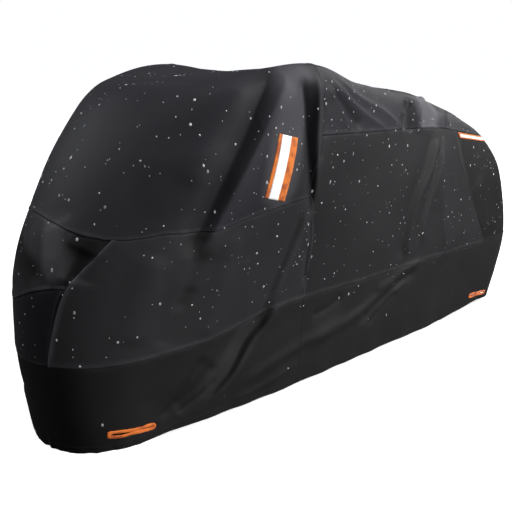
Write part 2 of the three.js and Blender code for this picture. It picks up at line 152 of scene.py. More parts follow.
class Graph:
    def __init__(self, tree, made=None):
        self.tree = tree
        self.made = made

    def add(self, kind, settings=None, sockets=None, out=0):
        node = self.tree.nodes.new(kind)
        for name, value in (settings or {}).items():
            setattr(node, name, value)
        for name, value in (sockets or {}).items():
            if isinstance(value, Wire):
                self.tree.links.new(value.socket, node.inputs[name])
            else:
                node.inputs[name].default_value = value
        return Wire(self, node, node.outputs[out]) if len(node.outputs) else node

    def place(self):
        return self.add("ShaderNodeTexCoord", out="Object")

    def mark(self, name):
        return self.add("ShaderNodeAttribute", {"attribute_name": name}, out="Fac")

    def noise(self, place, scale, detail, roughness=0.5):
        return self.add("ShaderNodeTexNoise", None,
                        {"Vector": place, "Scale": scale, "Detail": detail, "Roughness": roughness})

    def ranged(self, value, low, high, least=0.0, most=1.0, kind="LINEAR"):
        return self.add("ShaderNodeMapRange", {"interpolation_type": kind}, {
            "Value": value, "From Min": low, "From Max": high, "To Min": least, "To Max": most})

    def mixed(self, share, first, second):
        return self.add("ShaderNodeMix", {"data_type": "RGBA"}, {"Factor": share, 6: first, 7: second}, out=2)

    def weave(self, pitch):
        flat = self.add("ShaderNodeUVMap", {"uv_map": "cloth_uv"})
        parts = self.add("ShaderNodeSeparateXYZ", None, {"Vector": flat})
        turn = 2 * math.pi / pitch
        warp, weft = (self.add("ShaderNodeMath", {"operation": "SINE"}, {0: part * turn})
                      for part in (parts, parts.also("Y")))
        return warp * weft

    def bump(self, strength, distance, height, **below):
        return self.add("ShaderNodeBump", None, {
            "Strength": strength, "Distance": distance, "Height": height, **below})

    def principled(self, colour, roughness, **others):
        named = {name.replace("_", " "): value for name, value in others.items()}
        sockets = {"Base Color": colour, "Roughness": roughness, **named}
        return self.add("ShaderNodeBsdfPrincipled", None, sockets)

    def finish(self, shader):
        self.add("ShaderNodeOutputMaterial", None, {"Surface": shader})
        return self.made


def newMaterial(name):
    made = bpy.data.materials.new(name)
    made.use_nodes = True
    made.node_tree.nodes.clear()
    return Graph(made.node_tree, made)


def grey(level):
    return (level, level, level, 1.0)


def times(tint, factor, plus=0.0):
    return tuple(factor * part + plus for part in tint[:3]) + (1.0,)


# Cloth: coated polyester of a fine plain weave, dusty in places, paler at the seams where it rubs and with a
# painted highlight there, with painted shade in its hollows, a painted highlight on its crests, and painted
# patches of shade and highlight

cloth = {
    "weavePitch": 1.5 * mm,
    "weaveBump": (0.7, 0.10 * mm),
    "grainBump": (0.5, 0.35 * mm),
    # scale, detail and roughness of the noise
    "dust": (5.0, 6.0, 0.62),
    "grain": (260.0, 3.0, 0.7),
    "grainShare": 0.9,
    "wearAndHighlightShare": 0.5,
    # where a mark or the dust starts and stops to change the colour, then the share at each end
    "dusty": (0.42, 0.72, 0.0, 0.30),
    # crest and hollow come from the relief: a painted highlight on the ridges, painted shade in the hollows
    "crest": (2.0, 22.0, 0.0, 0.35),
    "hollow": (-4.0, -30.0, 0.0, 0.85),
    # painted highlight where the painted shading is below nought, a dark dull copy of the cloth (painted
    # shade) where it is above
    "dry": (0.0, -1.0),
    "paintedShade": (0.0, 1.0, 0.0, 0.95),
    # the panel's tint times the first number, plus the second (of the painted highlight's tint: times the
    # tint's green)
    "paleTint": (1.9, 0.002),
    "wornAndHighlightTint": (3.4, 0.002),
    "grainTint": 0.8,
    "hollowShadeTint": 0.15,
    "paintedShadeTint": 0.12,
    "paintedHighlightTint": (2.5, 3.8),
    "paintedShadeRoughness": 0.7,
    "paintedShadeShine": 0.02,
    "roughness": (0.44, 0.58),
    "grainRough": 0.10,
    "wornSmooth": 0.06,
    "sheen": {"Specular_IOR_Level": 0.20, "Sheen_Weight": 0.01, "Sheen_Roughness": 0.45},
    "tints": {
        "cloth_hood": (0.0184, 0.0180, 0.0226, 1.0),
        "cloth_body": (0.0156, 0.0151, 0.0168, 1.0),
        "cloth_front": (0.0242, 0.0236, 0.0258, 1.0),
        "cloth_skirt": (0.0118, 0.0114, 0.0126, 1.0),
        "cloth_nose_low": (0.0040, 0.0038, 0.0056, 1.0),
        "cloth_tail": (0.0066, 0.0064, 0.0071, 1.0),
    },
}


def clothMaterial(name, tint):
    graph = newMaterial(name)
    place = graph.place()
    dust = graph.noise(place, *cloth["dust"])
    speck = graph.noise(place, *cloth["grain"])
    wearAndHighlight, relief, damp = (graph.mark(mark) for mark in ("seam_wear_and_highlight", "relief", "damp"))
    pale = times(tint, *cloth["paleTint"])
    highlightTimes, highlightGrey = cloth["paintedHighlightTint"]
    colour = graph.mixed(graph.ranged(dust, *cloth["dusty"]), tint, pale)
    colour = graph.mixed(speck * cloth["grainShare"], times(tint, cloth["grainTint"]), colour)
    # painted highlight on the crests
    colour = graph.mixed(graph.ranged(relief, *cloth["crest"]), colour, pale)
    # paler along the seams: partly wear, partly a painted highlight on the lap edges
    colour = graph.mixed(wearAndHighlight * cloth["wearAndHighlightShare"], colour, times(tint, *cloth["wornAndHighlightTint"]))
    # painted shade in the hollows
    colour = graph.mixed(graph.ranged(relief, *cloth["hollow"]), colour, times(tint, cloth["hollowShadeTint"]))
    # painted highlight where the painted shading is below nought
    colour = graph.mixed(graph.ranged(damp, *cloth["dry"]), colour, times(tint, highlightTimes, highlightGrey * tint[1]))
    low, high = cloth["roughness"]
    roughness = low + (high - low) * dust + cloth["grainRough"] * speck - cloth["wornSmooth"] * wearAndHighlight
    grain = graph.bump(*cloth["grainBump"], speck)
    weave = graph.bump(*cloth["weaveBump"], graph.weave(cloth["weavePitch"]), Normal=grain)
    woven = graph.principled(colour, roughness, Normal=weave, **cloth["sheen"])
    # a dark, dull copy of the cloth, mixed in where the painted shading is above nought: painted shade
    paintedShade = graph.principled(times(tint, cloth["paintedShadeTint"]), cloth["paintedShadeRoughness"],
                              Specular_IOR_Level=cloth["paintedShadeShine"])
    share = graph.ranged(damp, *cloth["paintedShade"])
    return graph.finish(graph.add("ShaderNodeMixShader", None, {"Fac": share, 1: woven, 2: paintedShade}))


clothMaterials = {name: clothMaterial(name, tint) for name, tint in cloth["tints"].items()}


# Orange cloth and binding, white reflective tape, black thread and water

orange = {
    "patches": (34.0, 4.0),  # scale and detail
    "dirtShare": (0.36, 0.56, 0.9, 0.0),
    "dirtTint": (0.50, 0.36, 0.5),
    "weaveBump": (0.8, 0.15 * mm),
    "roughness": (0.45, 0.70),
    "sheen": {"Specular_IOR_Level": 0.4, "Sheen_Weight": 0.15},
    # pitch of the weave, tint
    "binding": (1.6 * mm, (0.83, 0.19, 0.018, 1.0)),
    "backing": (1.2 * mm, (0.88, 0.22, 0.020, 1.0)),
}


def orangeMaterial(layer):
    graph = newMaterial("orange_" + layer)
    pitch, tint = orange[layer]
    patch = graph.noise(graph.place(), *orange["patches"])
    dirty = (*(part * share for part, share in zip(tint, orange["dirtTint"])), 1.0)
    colour = graph.mixed(graph.ranged(patch, *orange["dirtShare"]), tint, dirty)
    weave = graph.bump(*orange["weaveBump"], graph.weave(pitch))
    low, high = orange["roughness"]
    return graph.finish(graph.principled(colour, low + (high - low) * patch, Normal=weave, **orange["sheen"]))


def tapeMaterial():
    graph = newMaterial("white_reflective_tape")
    place = graph.place()
    cells = graph.add("ShaderNodeTexVoronoi", {"feature": "DISTANCE_TO_EDGE"},
                      {"Vector": place, "Scale": 420.0})
    smudge = graph.noise(place, 30.0, 5.0)
    colour = graph.mixed(smudge * 0.5, (0.98, 0.98, 0.97, 1.0), (0.80, 0.81, 0.83, 1.0))
    # the tape glows faintly: painted light
    return graph.finish(graph.principled(
        colour, 0.30 + 0.2 * smudge, Normal=graph.bump(0.4, 0.1 * mm, cells), Specular_IOR_Level=0.6,
        Emission_Color=grey(1.0), Emission_Strength=0.18))


def threadMaterial():
    graph = newMaterial("black_thread")
    twist = graph.noise(graph.place(), 900.0, 2.0)
    colour = graph.mixed(twist, (0.020, 0.020, 0.022, 1.0), (0.055, 0.055, 0.058, 1.0))
    return graph.finish(graph.principled(colour, 0.45 + 0.2 * twist, Specular_IOR_Level=0.4))


def waterMaterial():
    graph = newMaterial("water_drops")
    cloud = graph.noise(graph.place(), 80.0, 2.0)
    # the drops are coloured near white and half clear: their brightness is a painted highlight
    return graph.finish(graph.principled(
        (0.86, 0.88, 0.90, 1.0), 0.06 + 0.05 * cloud, IOR=1.33, Coat_Weight=1.0, Coat_Roughness=0.03,
        Alpha=graph.ranged(cloud, 0.35, 0.65, 0.25, 0.75)))


def floorMaterial():
    graph = newMaterial("pale_floor")
    place = graph.place()
    colour = graph.mixed(graph.noise(place, 3.0, 3.0) * 0.1, studio["floorColour"], studio["floorSmudge"])
    away = graph.add("ShaderNodeVectorMath", {"operation": "LENGTH"}, {0: place}, out="Value")
    glow = graph.ranged(away, *studio["glow"], "SMOOTHSTEP")
    long, wide = studio["underCover"]
    shrunk = graph.add("ShaderNodeVectorMath", {"operation": "MULTIPLY"},
                       {0: place, 1: (1 / long, 1 / wide, 0)})
    parts = graph.add("ShaderNodeSeparateXYZ", None, {"Vector": shrunk})
    under = (parts * parts) ** 2.0 + (parts.also("Y") * parts.also("Y")) ** 2.0
    strength = glow * graph.ranged(under, *studio["shadeEdge"])
    pale = graph.add("ShaderNodeBsdfDiffuse", None, {"Color": colour})
    lamp = graph.add("ShaderNodeEmission", None, {"Color": grey(1.0), "Strength": strength})
    lit = graph.add("ShaderNodeAddShader", None, {0: pale, 1: lamp})
    bounce = graph.add("ShaderNodeBsdfDiffuse", None, {"Color": grey(studio["floorBounce"])})
    seen = graph.add("ShaderNodeLightPath", out="Is Camera Ray")
    return graph.finish(graph.add("ShaderNodeMixShader", None, {"Fac": seen, 1: bounce, 2: lit}))


bindingMaterial = orangeMaterial("binding")
backingMaterial = orangeMaterial("backing")
whiteTape = tapeMaterial()
thread = threadMaterial()
water = waterMaterial()


def placeFloor():
    half = studio["floorHalf"]
    flat = bpy.data.meshes.new("studio_floor")
    corners = [(-half, -half, 0), (half, -half, 0), (half, half, 0), (-half, half, 0)]
    flat.from_pydata(corners, [], [(0, 1, 2, 3)])
    flat.materials.append(floorMaterial())
    linkNew("studio_floor", flat)
    world = bpy.data.worlds.new("studio_air")
    world.use_nodes = True
    world.node_tree.nodes.clear()
    graph = Graph(world.node_tree)
    seen = graph.add("ShaderNodeLightPath", out="Is Camera Ray")
    strength = studio["airStrength"] + (studio["seenStrength"] - studio["airStrength"]) * seen
    air = graph.add("ShaderNodeBackground", None, {"Color": (*studio["air"], 1.0), "Strength": strength})
    graph.add("ShaderNodeOutputWorld", None, {"Surface": air})
    scene.world = world


placeFloor()
print("stage: floor and materials")


# The draped surface, in mm: level lines round the cover, from the ridge down to the hem

stations = {"fork": 820, "bars": 455, "middle": 80, "seat": -420}
forkRoom = {"width": 140, "height": 60}  # the nose's place stays this far from the fork's
levels = {
    # noseX, noseRound, tailX, tailRound; half widths, then heights, at the nose, fork, bars, middle,
    # seat and tail; turn of the nose seam, x of the side seam, x of the tail seam
    "ridge": ((640, 170, -800, 150), (0, 0, 0, 0, 0, 0),
              (1178, 1184, 1192, 1148, 1110, 1008), (0.62, 430, -600)),
    "crown": ((820, 330, -920, 240), (235, 240, 250, 220, 170, 150),
              (1172, 1180, 1204, 1152, 1102, 998), (0.62, 425, -610)),
    "peak": ((965, 450, -1010, 280), (400, 410, 420, 330, 262, 225),
             (1120, 1142, 1204, 1134, 1060, 950), (0.58, 420, -630)),
    "rail": ((1108, 560, -1145, 330), (420, 425, 438, 368, 315, 280),
             (975, 980, 988, 974, 958, 872), (0.52, 430, -670)),
    "bib": ((1222, 560, -1290, 360), (400, 392, 412, 355, 338, 320),
            (778, 772, 800, 790, 775, 730), (0.444, 440, -712)),
    "waist": ((1298, 420, -1352, 345), (330, 330, 350, 335, 330, 330),
              (590, 585, 590, 580, 575, 540), (0.33, 370, -822)),
    "band": ((1318, 300, -1365, 300), (262, 268, 302, 312, 318, 330),
             (316, 308, 368, 366, 370, 372), (0.31, 347, -930)),
    "skirt": ((1304, 265, -1358, 275), (240, 256, 288, 296, 300, 302),
              (165, 158, 188, 190, 190, 195), (0.31, 345, -940)),
    "hem": ((1285, 255, -1320, 230), (230, 246, 274, 282, 286, 270),
            (4, 6, 10, 12, 14, 30), (0.31, 345, -950)),
}
grid = {
    "columns": {"nose": 60, "side": 104, "tail": 132, "end": 60},
    "columnLengths": {"nose": 430, "side": 860, "tail": 1230, "end": 560},
    "rows": {"ridge": 22, "crown": 18, "peak": 24, "rail": 24, "bib": 24, "waist": 28,
             "band": 22, "skirt": 26},
    "rowLengths": {"ridge": 235, "crown": 175, "peak": 165, "rail": 200, "bib": 200, "waist": 230,
                   "band": 160, "skirt": 180},
    "seamRows": (3.0, 7.0, 11.0, 15.0),
    "seamLevels": ("rail", "bib", "band"),
    "seamClear": 0.35,  # of a cell, within which the rows beside a seam push out an even one
    "noseJoin": 0.25,
    "joinClear": 0.012,
    "samples": 400,  # on each part of a level line, to measure its length
}


def curveThrough(xs, ys, x):
    xs, ys = np.array(xs, float), np.array(ys, float)
    at = np.clip(x, xs[0], xs[-1])
    rates = np.diff(ys) / np.diff(xs)
    slopes = np.zeros(len(xs))
    for i in range(1, len(xs) - 1):
        if rates[i - 1] * rates[i] > 0:
            slopes[i] = 2 * rates[i - 1] * rates[i] / (rates[i - 1] + rates[i])
    i = np.clip(np.searchsorted(xs, at, side="right") - 1, 0, len(xs) - 2)
    span = xs[i + 1] - xs[i]
    t = (at - xs[i]) / span
    return ((1 + 2 * t) * (1 - t) ** 2 * ys[i] + t * (1 - t) ** 2 * span * slopes[i]
            + t * t * (3 - 2 * t) * ys[i + 1] + t * t * (t - 1) * span * slopes[i + 1])


def between(p0, p1, p2, p3, t):
    # a smooth curve from p1 to p2
    return 0.5 * (2 * p1 + (p2 - p0) * t + (2 * p0 - 5 * p1 + 4 * p2 - p3) * t * t
                  + (3 * p1 - 3 * p2 + p3 - p0) * t ** 3)


def walkedAlong(line):
    # how far along the line each of its points is
    return np.concatenate([[0], np.cumsum(np.linalg.norm(np.diff(line, axis=0), axis=1))])


def pointsAt(at, walked, line):
    return np.stack([np.interp(at, walked, values) for values in line.T], -1)


def unit(vectors):
    return vectors / np.maximum(np.linalg.norm(vectors, axis=-1, keepdims=True), 1e-9)


def outlinePoints(level, turn):
    # a level line: its turn runs from 0 to 1 round the nose, to 2 along the side, to 3 round the tail
    (noseX, noseRound, tailX, tailRound), widths, heights, _ = levels[level]
    noseSide, tailSide = noseX - noseRound, tailX + tailRound
    noseAngle = np.minimum(turn, 1) * math.pi / 2
    tailAngle = np.maximum(turn - 2, 0) * math.pi / 2
    x = np.where(turn < 1, noseSide + noseRound * np.cos(noseAngle),
                 np.where(turn > 2, tailSide - tailRound * np.sin(tailAngle),
                          noseSide + (tailSide - noseSide) * (turn - 1)))
    seat, middle, bars, fork = (stations[name] for name in ("seat", "middle", "bars", "fork"))
    nose = max(noseSide, fork + forkRoom["width"])
    half = curveThrough([tailSide, seat, middle, bars, fork, nose], widths[::-1], x)
    fork = min(fork, noseX - forkRoom["height"])
    z = curveThrough([tailX, seat, middle, bars, fork, noseX], heights[::-1], x)
    return np.stack([x, half * np.sin(noseAngle) * np.cos(tailAngle), z], -1)


def turnAt(level, x):
    noseX, noseRound, tailX, tailRound = levels[level][0]
    noseSide, tailSide = noseX - noseRound, tailX + tailRound
    if x > noseSide:
        return math.acos(min((x - noseSide) / noseRound, 1)) / (math.pi / 2)
    if x < tailSide:
        return 2 + math.asin(min((tailSide - x) / tailRound, 1)) / (math.pi / 2)
    return 1 + (x - noseSide) / (tailSide - noseSide)


def joined(even, extra, clear):
    # the extra shares, and the even ones that are clear of them
    kept = [share for share in even if share == 0 or all(abs(share - e) > clear for e in extra)]
    return sorted(kept + extra)


def sharesWithSeams(count, length, startSeam, endSeam):
    near = [distance / length for distance in grid["seamRows"]]
    extra = (near if startSeam else []) + ([1 - share for share in near] if endSeam else [])
    return joined([i / count for i in range(count)], extra, grid["seamClear"] / count)


columnShares = [
    sharesWithSeams(grid["columns"][part], grid["columnLengths"][part], part != "nose", part != "end")
    for part in grid["columns"]
]
seamColumns = np.cumsum([0] + [len(shares) for shares in columnShares])
halfColumns = int(seamColumns[-1])
ringColumns = 2 * halfColumns


def levelLine(level):
    noseTurn, sideX, tailX = levels[level][3]
    ends = [0, noseTurn, turnAt(level, sideX), turnAt(level, tailX), 3]
    found = []
    for part, shares in enumerate(columnShares):
        turns = np.linspace(ends[part], ends[part + 1], grid["samples"])
        walked = walkedAlong(outlinePoints(level, turns))
        found.append(np.interp(np.array(shares) * walked[-1], walked, turns))
    return outlinePoints(level, np.concatenate(found + [[3.0]]))


def drapedGrid():
    names = list(levels)
    lines = np.array([levelLine(name) for name in names])
    lines = np.concatenate([lines[1:2] * (1, -1, 1), lines, 2 * lines[-1:] - lines[-2:-1]])
    rows, starts = [], {}
    for k, name in enumerate(names[:-1]):
        starts[name] = len(rows)
        length = grid["rowLengths"][name]
        seamStart, seamEnd = (level in grid["seamLevels"] for level in names[k:k + 2])
        shares = sharesWithSeams(grid["rows"][name], length, seamStart, seamEnd)
        if name == "waist":
            join = grid["noseJoin"]
            near = [side * distance / length for distance in grid["seamRows"] for side in (-1, 1)]
            shares = joined(shares, [join] + [join + step for step in near], grid["joinClear"])
            starts["noseJoin"] = len(rows) + shares.index(join)
        rows += [between(*lines[k:k + 4], t) for t in shares]
    starts["hem"] = len(rows)
    left = np.array(rows + [lines[-2]])
    right = left[:, 1:][:, ::-1] * (1, -1, 1)
    return np.concatenate([right, left[:, :-1]], axis=1), starts


surface, levelRow = drapedGrid()
print("stage: draped grid of", len(surface) - 1, "x", ringColumns, "cells")


def ringNormals(points):
    closed = np.concatenate([points[:, -1:], points, points[:, :1]], axis=1)
    along = closed[:, 2:] - closed[:, :-2]
    down = np.zeros_like(points)
    down[1:-1] = points[2:] - points[:-2]
    down[-1] = points[-1] - points[-2]
    mirrorColumn = (ringColumns - np.arange(ringColumns)) % ringColumns  # across the ridge
    down[0] = points[1] - points[1][mirrorColumn]
    return unit(np.cross(down, along))


# Folds: how far each rises, its half widths left and right of its path, seen from outside, and
# the path in mm. A crease has a sharp crest.

folds = {
    "pleatBody": (8, 90, 40, [(590, 420, 1180), (730, 410, 930), (820, 380, 740), (870, 330, 610)]),
    "pleatShoulder": (6, 44, 60, [(700, 370, 1170), (790, 370, 1070), (850, 350, 980), (920, 340, 850)]),
    "pleatEnd": (-8, 26, 34, [(860, 370, 720), (880, 340, 600), (900, 320, 520), (930, 300, 440)]),
    "sideSwell": (6, 46, 46, [(740, 380, 720), (760, 320, 530), (800, 270, 300)]),
    "sideHollow": (-5, 50, 50, [(880, 320, 540), (920, 300, 440), (980, 260, 330)]),
    "forkSwell": (6, 50, 50, [(1010, 320, 670), (1060, 290, 510), (1090, 260, 360)]),
    "kneeTrough": (-5, 9, 12, [(450, 390, 740), (480, 350, 610), (520, 320, 480), (560, 300, 390)]),
    "kneeRidge": (9, 18, 14, [(420, 390, 740), (460, 350, 590), (500, 330, 460), (530, 310, 380)]),
    "wheelHollow": (-6, 26, 22, [(760, 260, 220), (790, 260, 180), (850, 260, 130), (920, 250, 80)]),
    "noseWedge": (9, 30, 60, [(1210, 100, 780), (1220, 150, 700), (1230, 160, 650), (1240, 170, 580)]),
    "nosePit": (-12, 50, 40, [(1190, 190, 690), (1210, 180, 640), (1230, 180, 590)]),
    "noseLeft": (-6, 30, 30, [(1250, -120, 660), (1290, -20, 620), (1290, 60, 600), (1260, 130, 580)]),
    "screenEdge": (-4, 40, 40, [(900, -90, 1150), (840, 70, 1160), (790, 290, 1160)]),
    "tankHollow": (-10, 18, 22, [(360, 430, 1130), (260, 400, 1070), (120, 370, 990)]),
    "seatTrough": (-10, 22, 26, [(-340, 260, 1080), (-230, 320, 1030), (-190, 340, 950)]),
    "seatFacet": (5, 60, 20, [(-480, 220, 1070), (-320, 300, 1030), (-280, 330, 940)]),
    "wedge": (6, 120, 44, [(-540, 300, 950), (-500, 340, 750), (-570, 330, 470), (-630, 320, 330)]),
    "tailSwell": (6, 50, 50, [(-830, 330, 710), (-920, 330, 590), (-1010, 330, 410)]),
    "skirtSweep": (8, 24, 22, [(-260, 310, 320), (-100, 310, 260), (60, 300, 210), (210, 290, 180),
                               (310, 290, 150)]),
    "skirtHollow": (-9, 24, 24, [(-400, 310, 330), (-230, 310, 290), (-100, 310, 230), (0, 300, 160)]),
    "skirtUpper": (6, 18, 20, [(-430, 310, 380), (-300, 310, 350), (-190, 310, 320), (-80, 310, 300)]),
    "skirtSecond": (5, 22, 26, [(60, 310, 240), (180, 300, 210), (350, 290, 170), (500, 280, 140),
                                (640, 270, 90)]),
    "noseHem": (13, 90, 90, [(1240, -160, 190), (1230, -160, 100), (1220, -160, 10)]),
    "farStrip": (-20, 42, 42, [(640, -420, 1150), (750, -400, 940), (850, -360, 700), (940, -320, 560)]),
    "farHood": (12, 48, 48, [(690, -410, 1120), (800, -380, 1000), (900, -350, 850)]),
    "farBar": (-22, 28, 28, [(460, -440, 1120), (450, -440, 1000), (440, -420, 850)]),
    "farKnee": (10, 26, 26, [(440, -400, 760), (480, -350, 600), (510, -300, 430)]),
    "farOverlap": (18, 60, 30, [(500, -300, 360), (600, -280, 270), (700, -260, 150)]),
    "farFork": (-9, 42, 42, [(1040, -300, 730), (1090, -280, 640), (1120, -260, 540)]),
    "farTank": (9, 26, 26, [(320, -420, 1140), (160, -380, 1050), (0, -350, 1000)]),
    "farSeat": (-10, 30, 30, [(-260, -310, 1040), (-320, -330, 980), (-330, -340, 900)]),
    "farPannier": (12, 26, 26, [(-450, -340, 850), (-400, -340, 690), (-360, -330, 470)]),
    "farSweep": (14, 28, 28, [(-420, -320, 350), (-300, -310, 260), (-80, -300, 190), (60, -290, 130)]),
    "farTail": (-9, 36, 36, [(-800, -330, 780), (-860, -330, 640), (-900, -330, 480)]),
}
creases = {
    "barSlot": (-11, 5, 9, [(420, 440, 1130), (400, 430, 1040), (410, 430, 940), (410, 420, 890)]),
    "seatRidge": (9, 9, 22, [(330, 410, 1180), (120, 360, 1100), (-60, 340, 1040), (-230, 330, 940)]),
    "tankRidge": (9, 9, 20, [(390, 430, 1180), (230, 400, 1100), (0, 360, 1000), (-90, 350, 950)]),
    "tankArc": (6, 10, 10, [(410, 430, 1150), (280, 410, 1060), (240, 400, 980)]),
    "seatArc": (6, 7, 12, [(-180, 320, 1050), (-220, 320, 1030), (-310, 290, 1050), (-480, 220, 1070)]),
    "facetEdge": (7, 50, 12, [(-480, 220, 1070), (-320, 310, 1020), (-280, 330, 940)]),
    "facetFoot": (-7, 6, 40, [(-650, 190, 1040), (-540, 280, 1000), (-460, 320, 930)]),
    "pairRidge": (7, 7, 6, [(-660, 210, 1020), (-580, 280, 980), (-540, 300, 940)]),
    "pairDark": (-6, 10, 7, [(-740, 190, 1010), (-660, 260, 980), (-620, 300, 930)]),
    "pannierSlot": (-8, 6, 8, [(-490, 320, 880), (-420, 340, 710), (-370, 330, 540), (-360, 320, 440)]),
    "pannierSecond": (8, 12, 8, [(-510, 320, 880), (-460, 340, 720), (-400, 330, 540), (-400, 320, 430)]),
    "wedgeEdge": (4, 90, 8, [(-540, 300, 950), (-500, 340, 800), (-540, 330, 560), (-620, 320, 330)]),
    "wedgeFar": (-3, 12, 12, [(-630, 300, 910), (-750, 330, 660), (-950, 330, 370)]),
    "sideSeamPull": (-6, 7, 7, [(410, 390, 740), (380, 350, 610), (350, 310, 410)]),
    "kneeFine": (6, 8, 8, [(410, 390, 730), (390, 360, 640), (380, 340, 560)]),
    "wheelFoot": (-7, 26, 12, [(800, 260, 260), (830, 260, 210), (930, 240, 100), (980, 240, 70)]),
    "wheelLine": (-5, 12, 8, [(750, 260, 160), (790, 250, 120), (850, 250, 90), (910, 240, 60)]),
    "noseWelt": (5, 8, 6, [(1110, 260, 720), (1160, 230, 680), (1220, 190, 600), (1260, 150, 540),
                           (1280, 130, 440), (1290, 110, 310)]),
    "noseFine": (6, 18, 18, [(1290, -70, 590), (1300, -60, 540)]),
    "skirtStreak": (3, 11, 11, [(330, 290, 100), (540, 270, 60), (680, 260, 40)]),
    "skirtSlot": (-6, 16, 16, [(110, 310, 330), (200, 300, 290), (300, 300, 280)]),
    "skirtLowSlot": (-5, 14, 14, [(-260, 310, 260), (-150, 310, 210), (-60, 290, 140)]),
    "skirtFine": (4, 9, 9, [(-330, 320, 300), (-210, 310, 250), (-110, 300, 190)]),
}
# Steep walls of the deep folds: drop at the foot, rise at the crest, half width at the start and at the end,
# reach beyond the foot and beyond the crest, painted shade, and the path along the wall's middle
walls = {
    "pleatWall": (17, 15, 22, 14, 46, 60, 0.38, [
        (580, 400, 1200), (660, 420, 1100), (710, 410, 1000), (820, 380, 800), (870, 360, 700),
        (900, 340, 620)]),
    "barWall": (19, 14, 26, 6, 32, 34, 0.85, [
        (480, 430, 1190), (470, 440, 1080), (460, 440, 940), (430, 420, 820), (410, 390, 730)]),
    "lapWall": (12, 3, 13, 4, 40, 40, 0.95, [
        (490, 290, 380), (540, 280, 320), (610, 280, 260), (680, 270, 160), (750, 260, 100), (790, 250, 70)]),
    "pannierWall": (7, 12, 24, 18, 46, 18, 0.2, [
        (-460, 320, 930), (-380, 340, 780), (-310, 340, 660), (-270, 330, 490), (-280, 320, 400)]),
}
# Painted shade (above nought) and painted highlight (below nought) in patches on a panel: panel, share, half
# width, soft edge, path
paintedPatches = {
    "nosePitTop": ("nose_upper", 0.5, 36, 14, [(1190, 190, 700), (1140, 230, 710)]),
    "nosePitLow": ("nose_upper", 0.5, 18, 14, [(1170, 200, 680), (1200, 190, 640), (1230, 180, 580)]),
    "noseCorner": ("nose_upper", 0.5, 26, 34, [(1250, -130, 680), (1280, -60, 640), (1290, 20, 610)]),
    "noseFront": ("nose_upper", -0.45, 24, 36, [(1230, 80, 760), (1240, 100, 700), (1250, 120, 630)]),
    "skirtNose": ("skirt_front", 0.6, 110, 100, [(1310, 20, 400), (1300, 20, 160), (1280, 20, -40)]),
    "lowHood": ("hood", 0.2, 60, 60, [(1000, 330, 860), (860, 370, 860)]),
    "stripPanel": ("hood", -0.38, 48, 50, [(530, 430, 1160), (580, 420, 980), (590, 410, 840)]),
    "skirtFront": ("skirt_front", -0.2, 30, 40, [(610, 280, 310), (660, 270, 230), (740, 260, 150)]),
    "facet": ("rear_top", -0.68, 62, 30, [(-520, 220, 1060), (-430, 290, 1010), (-400, 320, 930)]),
    "facetSide": ("rear_top", 0.6, 26, 20, [(-290, 290, 1050), (-250, 330, 950)]),
}


# How the shapes above are worked out

shaping = {
    # how far out a shape is worked out, in half widths, and from which share of that it fades out
    "foldReach": 2.5,
    "creaseReach": 4,
    "fadeFrom": 0.55,
    # share of the path over which a shape rises and falls at its ends
    "taper": 0.15,
    "wallTaper": 0.1,
    "darkTaper": 0.2,
    "crestRound": 0.35,  # how blunt a crease's crest is, in half widths
    "offCloth": 0.95,  # how much of a path's distance off the cloth is left out
    # where a wall's painted shade starts and stops to fade: times the wall's half width, and mm
    "darkFrom": (0.8, -5),
    "darkTo": (1.2, 6),
    "pathSteps": 8,
}


def walkPath(corners):
    corners = np.array(corners, float)
    ends = np.concatenate([2 * corners[:1] - corners[1:2], corners, 2 * corners[-1:] - corners[-2:-1]])
    steps = shaping["pathSteps"]
    points = [between(*ends[k:k + 4], t) for k in range(len(corners) - 1) for t in np.arange(steps) / steps]
    return np.array(points + [corners[-1]])


def smoothStep(value, low, high):
    t = np.clip((value - low) / (high - low), 0, 1)
    return t * t * (3 - 2 * t)


def alongPath(points, normals, corners, reach):
    # the points near a path, how far each lies left of it (right of it below nought), and how far along
    path = walkPath(corners)
    near = np.all((points > path.min(0) - reach) & (points < path.max(0) + reach), axis=-1)
    at, out = points[near], normals[near]
    best, beside = np.full(len(at), np.inf), np.zeros(len(at))
    side, walkedTo = np.zeros(len(at)), np.zeros(len(at))
    walked = 0.0
    for start, end in zip(path[:-1], path[1:]):
        step = end - start
        length = np.linalg.norm(step)
        share = np.clip((at - start) @ step / length ** 2, 0, 1)
        offset = at - start - share[:, None] * step
        distance = np.linalg.norm(offset, axis=1)
        closer = distance < best
        best = np.where(closer, distance, best)
        lifted = np.einsum("ij,ij->i", offset, out)  # how far the path lies off the cloth
        level = np.sqrt(np.maximum(distance ** 2 - shaping["offCloth"] * lifted ** 2, 0))
        beside = np.where(closer, level, beside)
        side = np.where(closer, np.einsum("ij,ij->i", np.cross(out, step), offset), side)
        walkedTo = np.where(closer, walked + share * length, walkedTo)
        walked += length
    return near, np.where(side > 0, beside, -beside), walkedTo / walked


def fadeOut(away, along, reach, taper):
    ends = smoothStep(np.minimum(along, 1 - along), 0, taper)
    return ends * (1 - smoothStep(np.abs(away), shaping["fadeFrom"] * reach, reach))


def spread(points, near, values):
    # the values at the near points, nought elsewhere
    found = np.zeros(points.shape[:-1])
    found[near] = values
    return found


def foldRise(points, normals, rise, left, right, corners, crisp):
    reach = shaping["creaseReach" if crisp else "foldReach"] * max(left, right)
    near, away, along = alongPath(points, normals, corners, reach)
    width = np.where(away > 0, left, right)
    if crisp:
        blunt = shaping["crestRound"] * width
        shape = np.exp(-(np.sqrt(away ** 2 + blunt ** 2) - blunt) / width)
    else:
        shape = np.exp(-(away / width) ** 2)
    return spread(points, near, rise * shape * fadeOut(away, along, reach, shaping["taper"]))


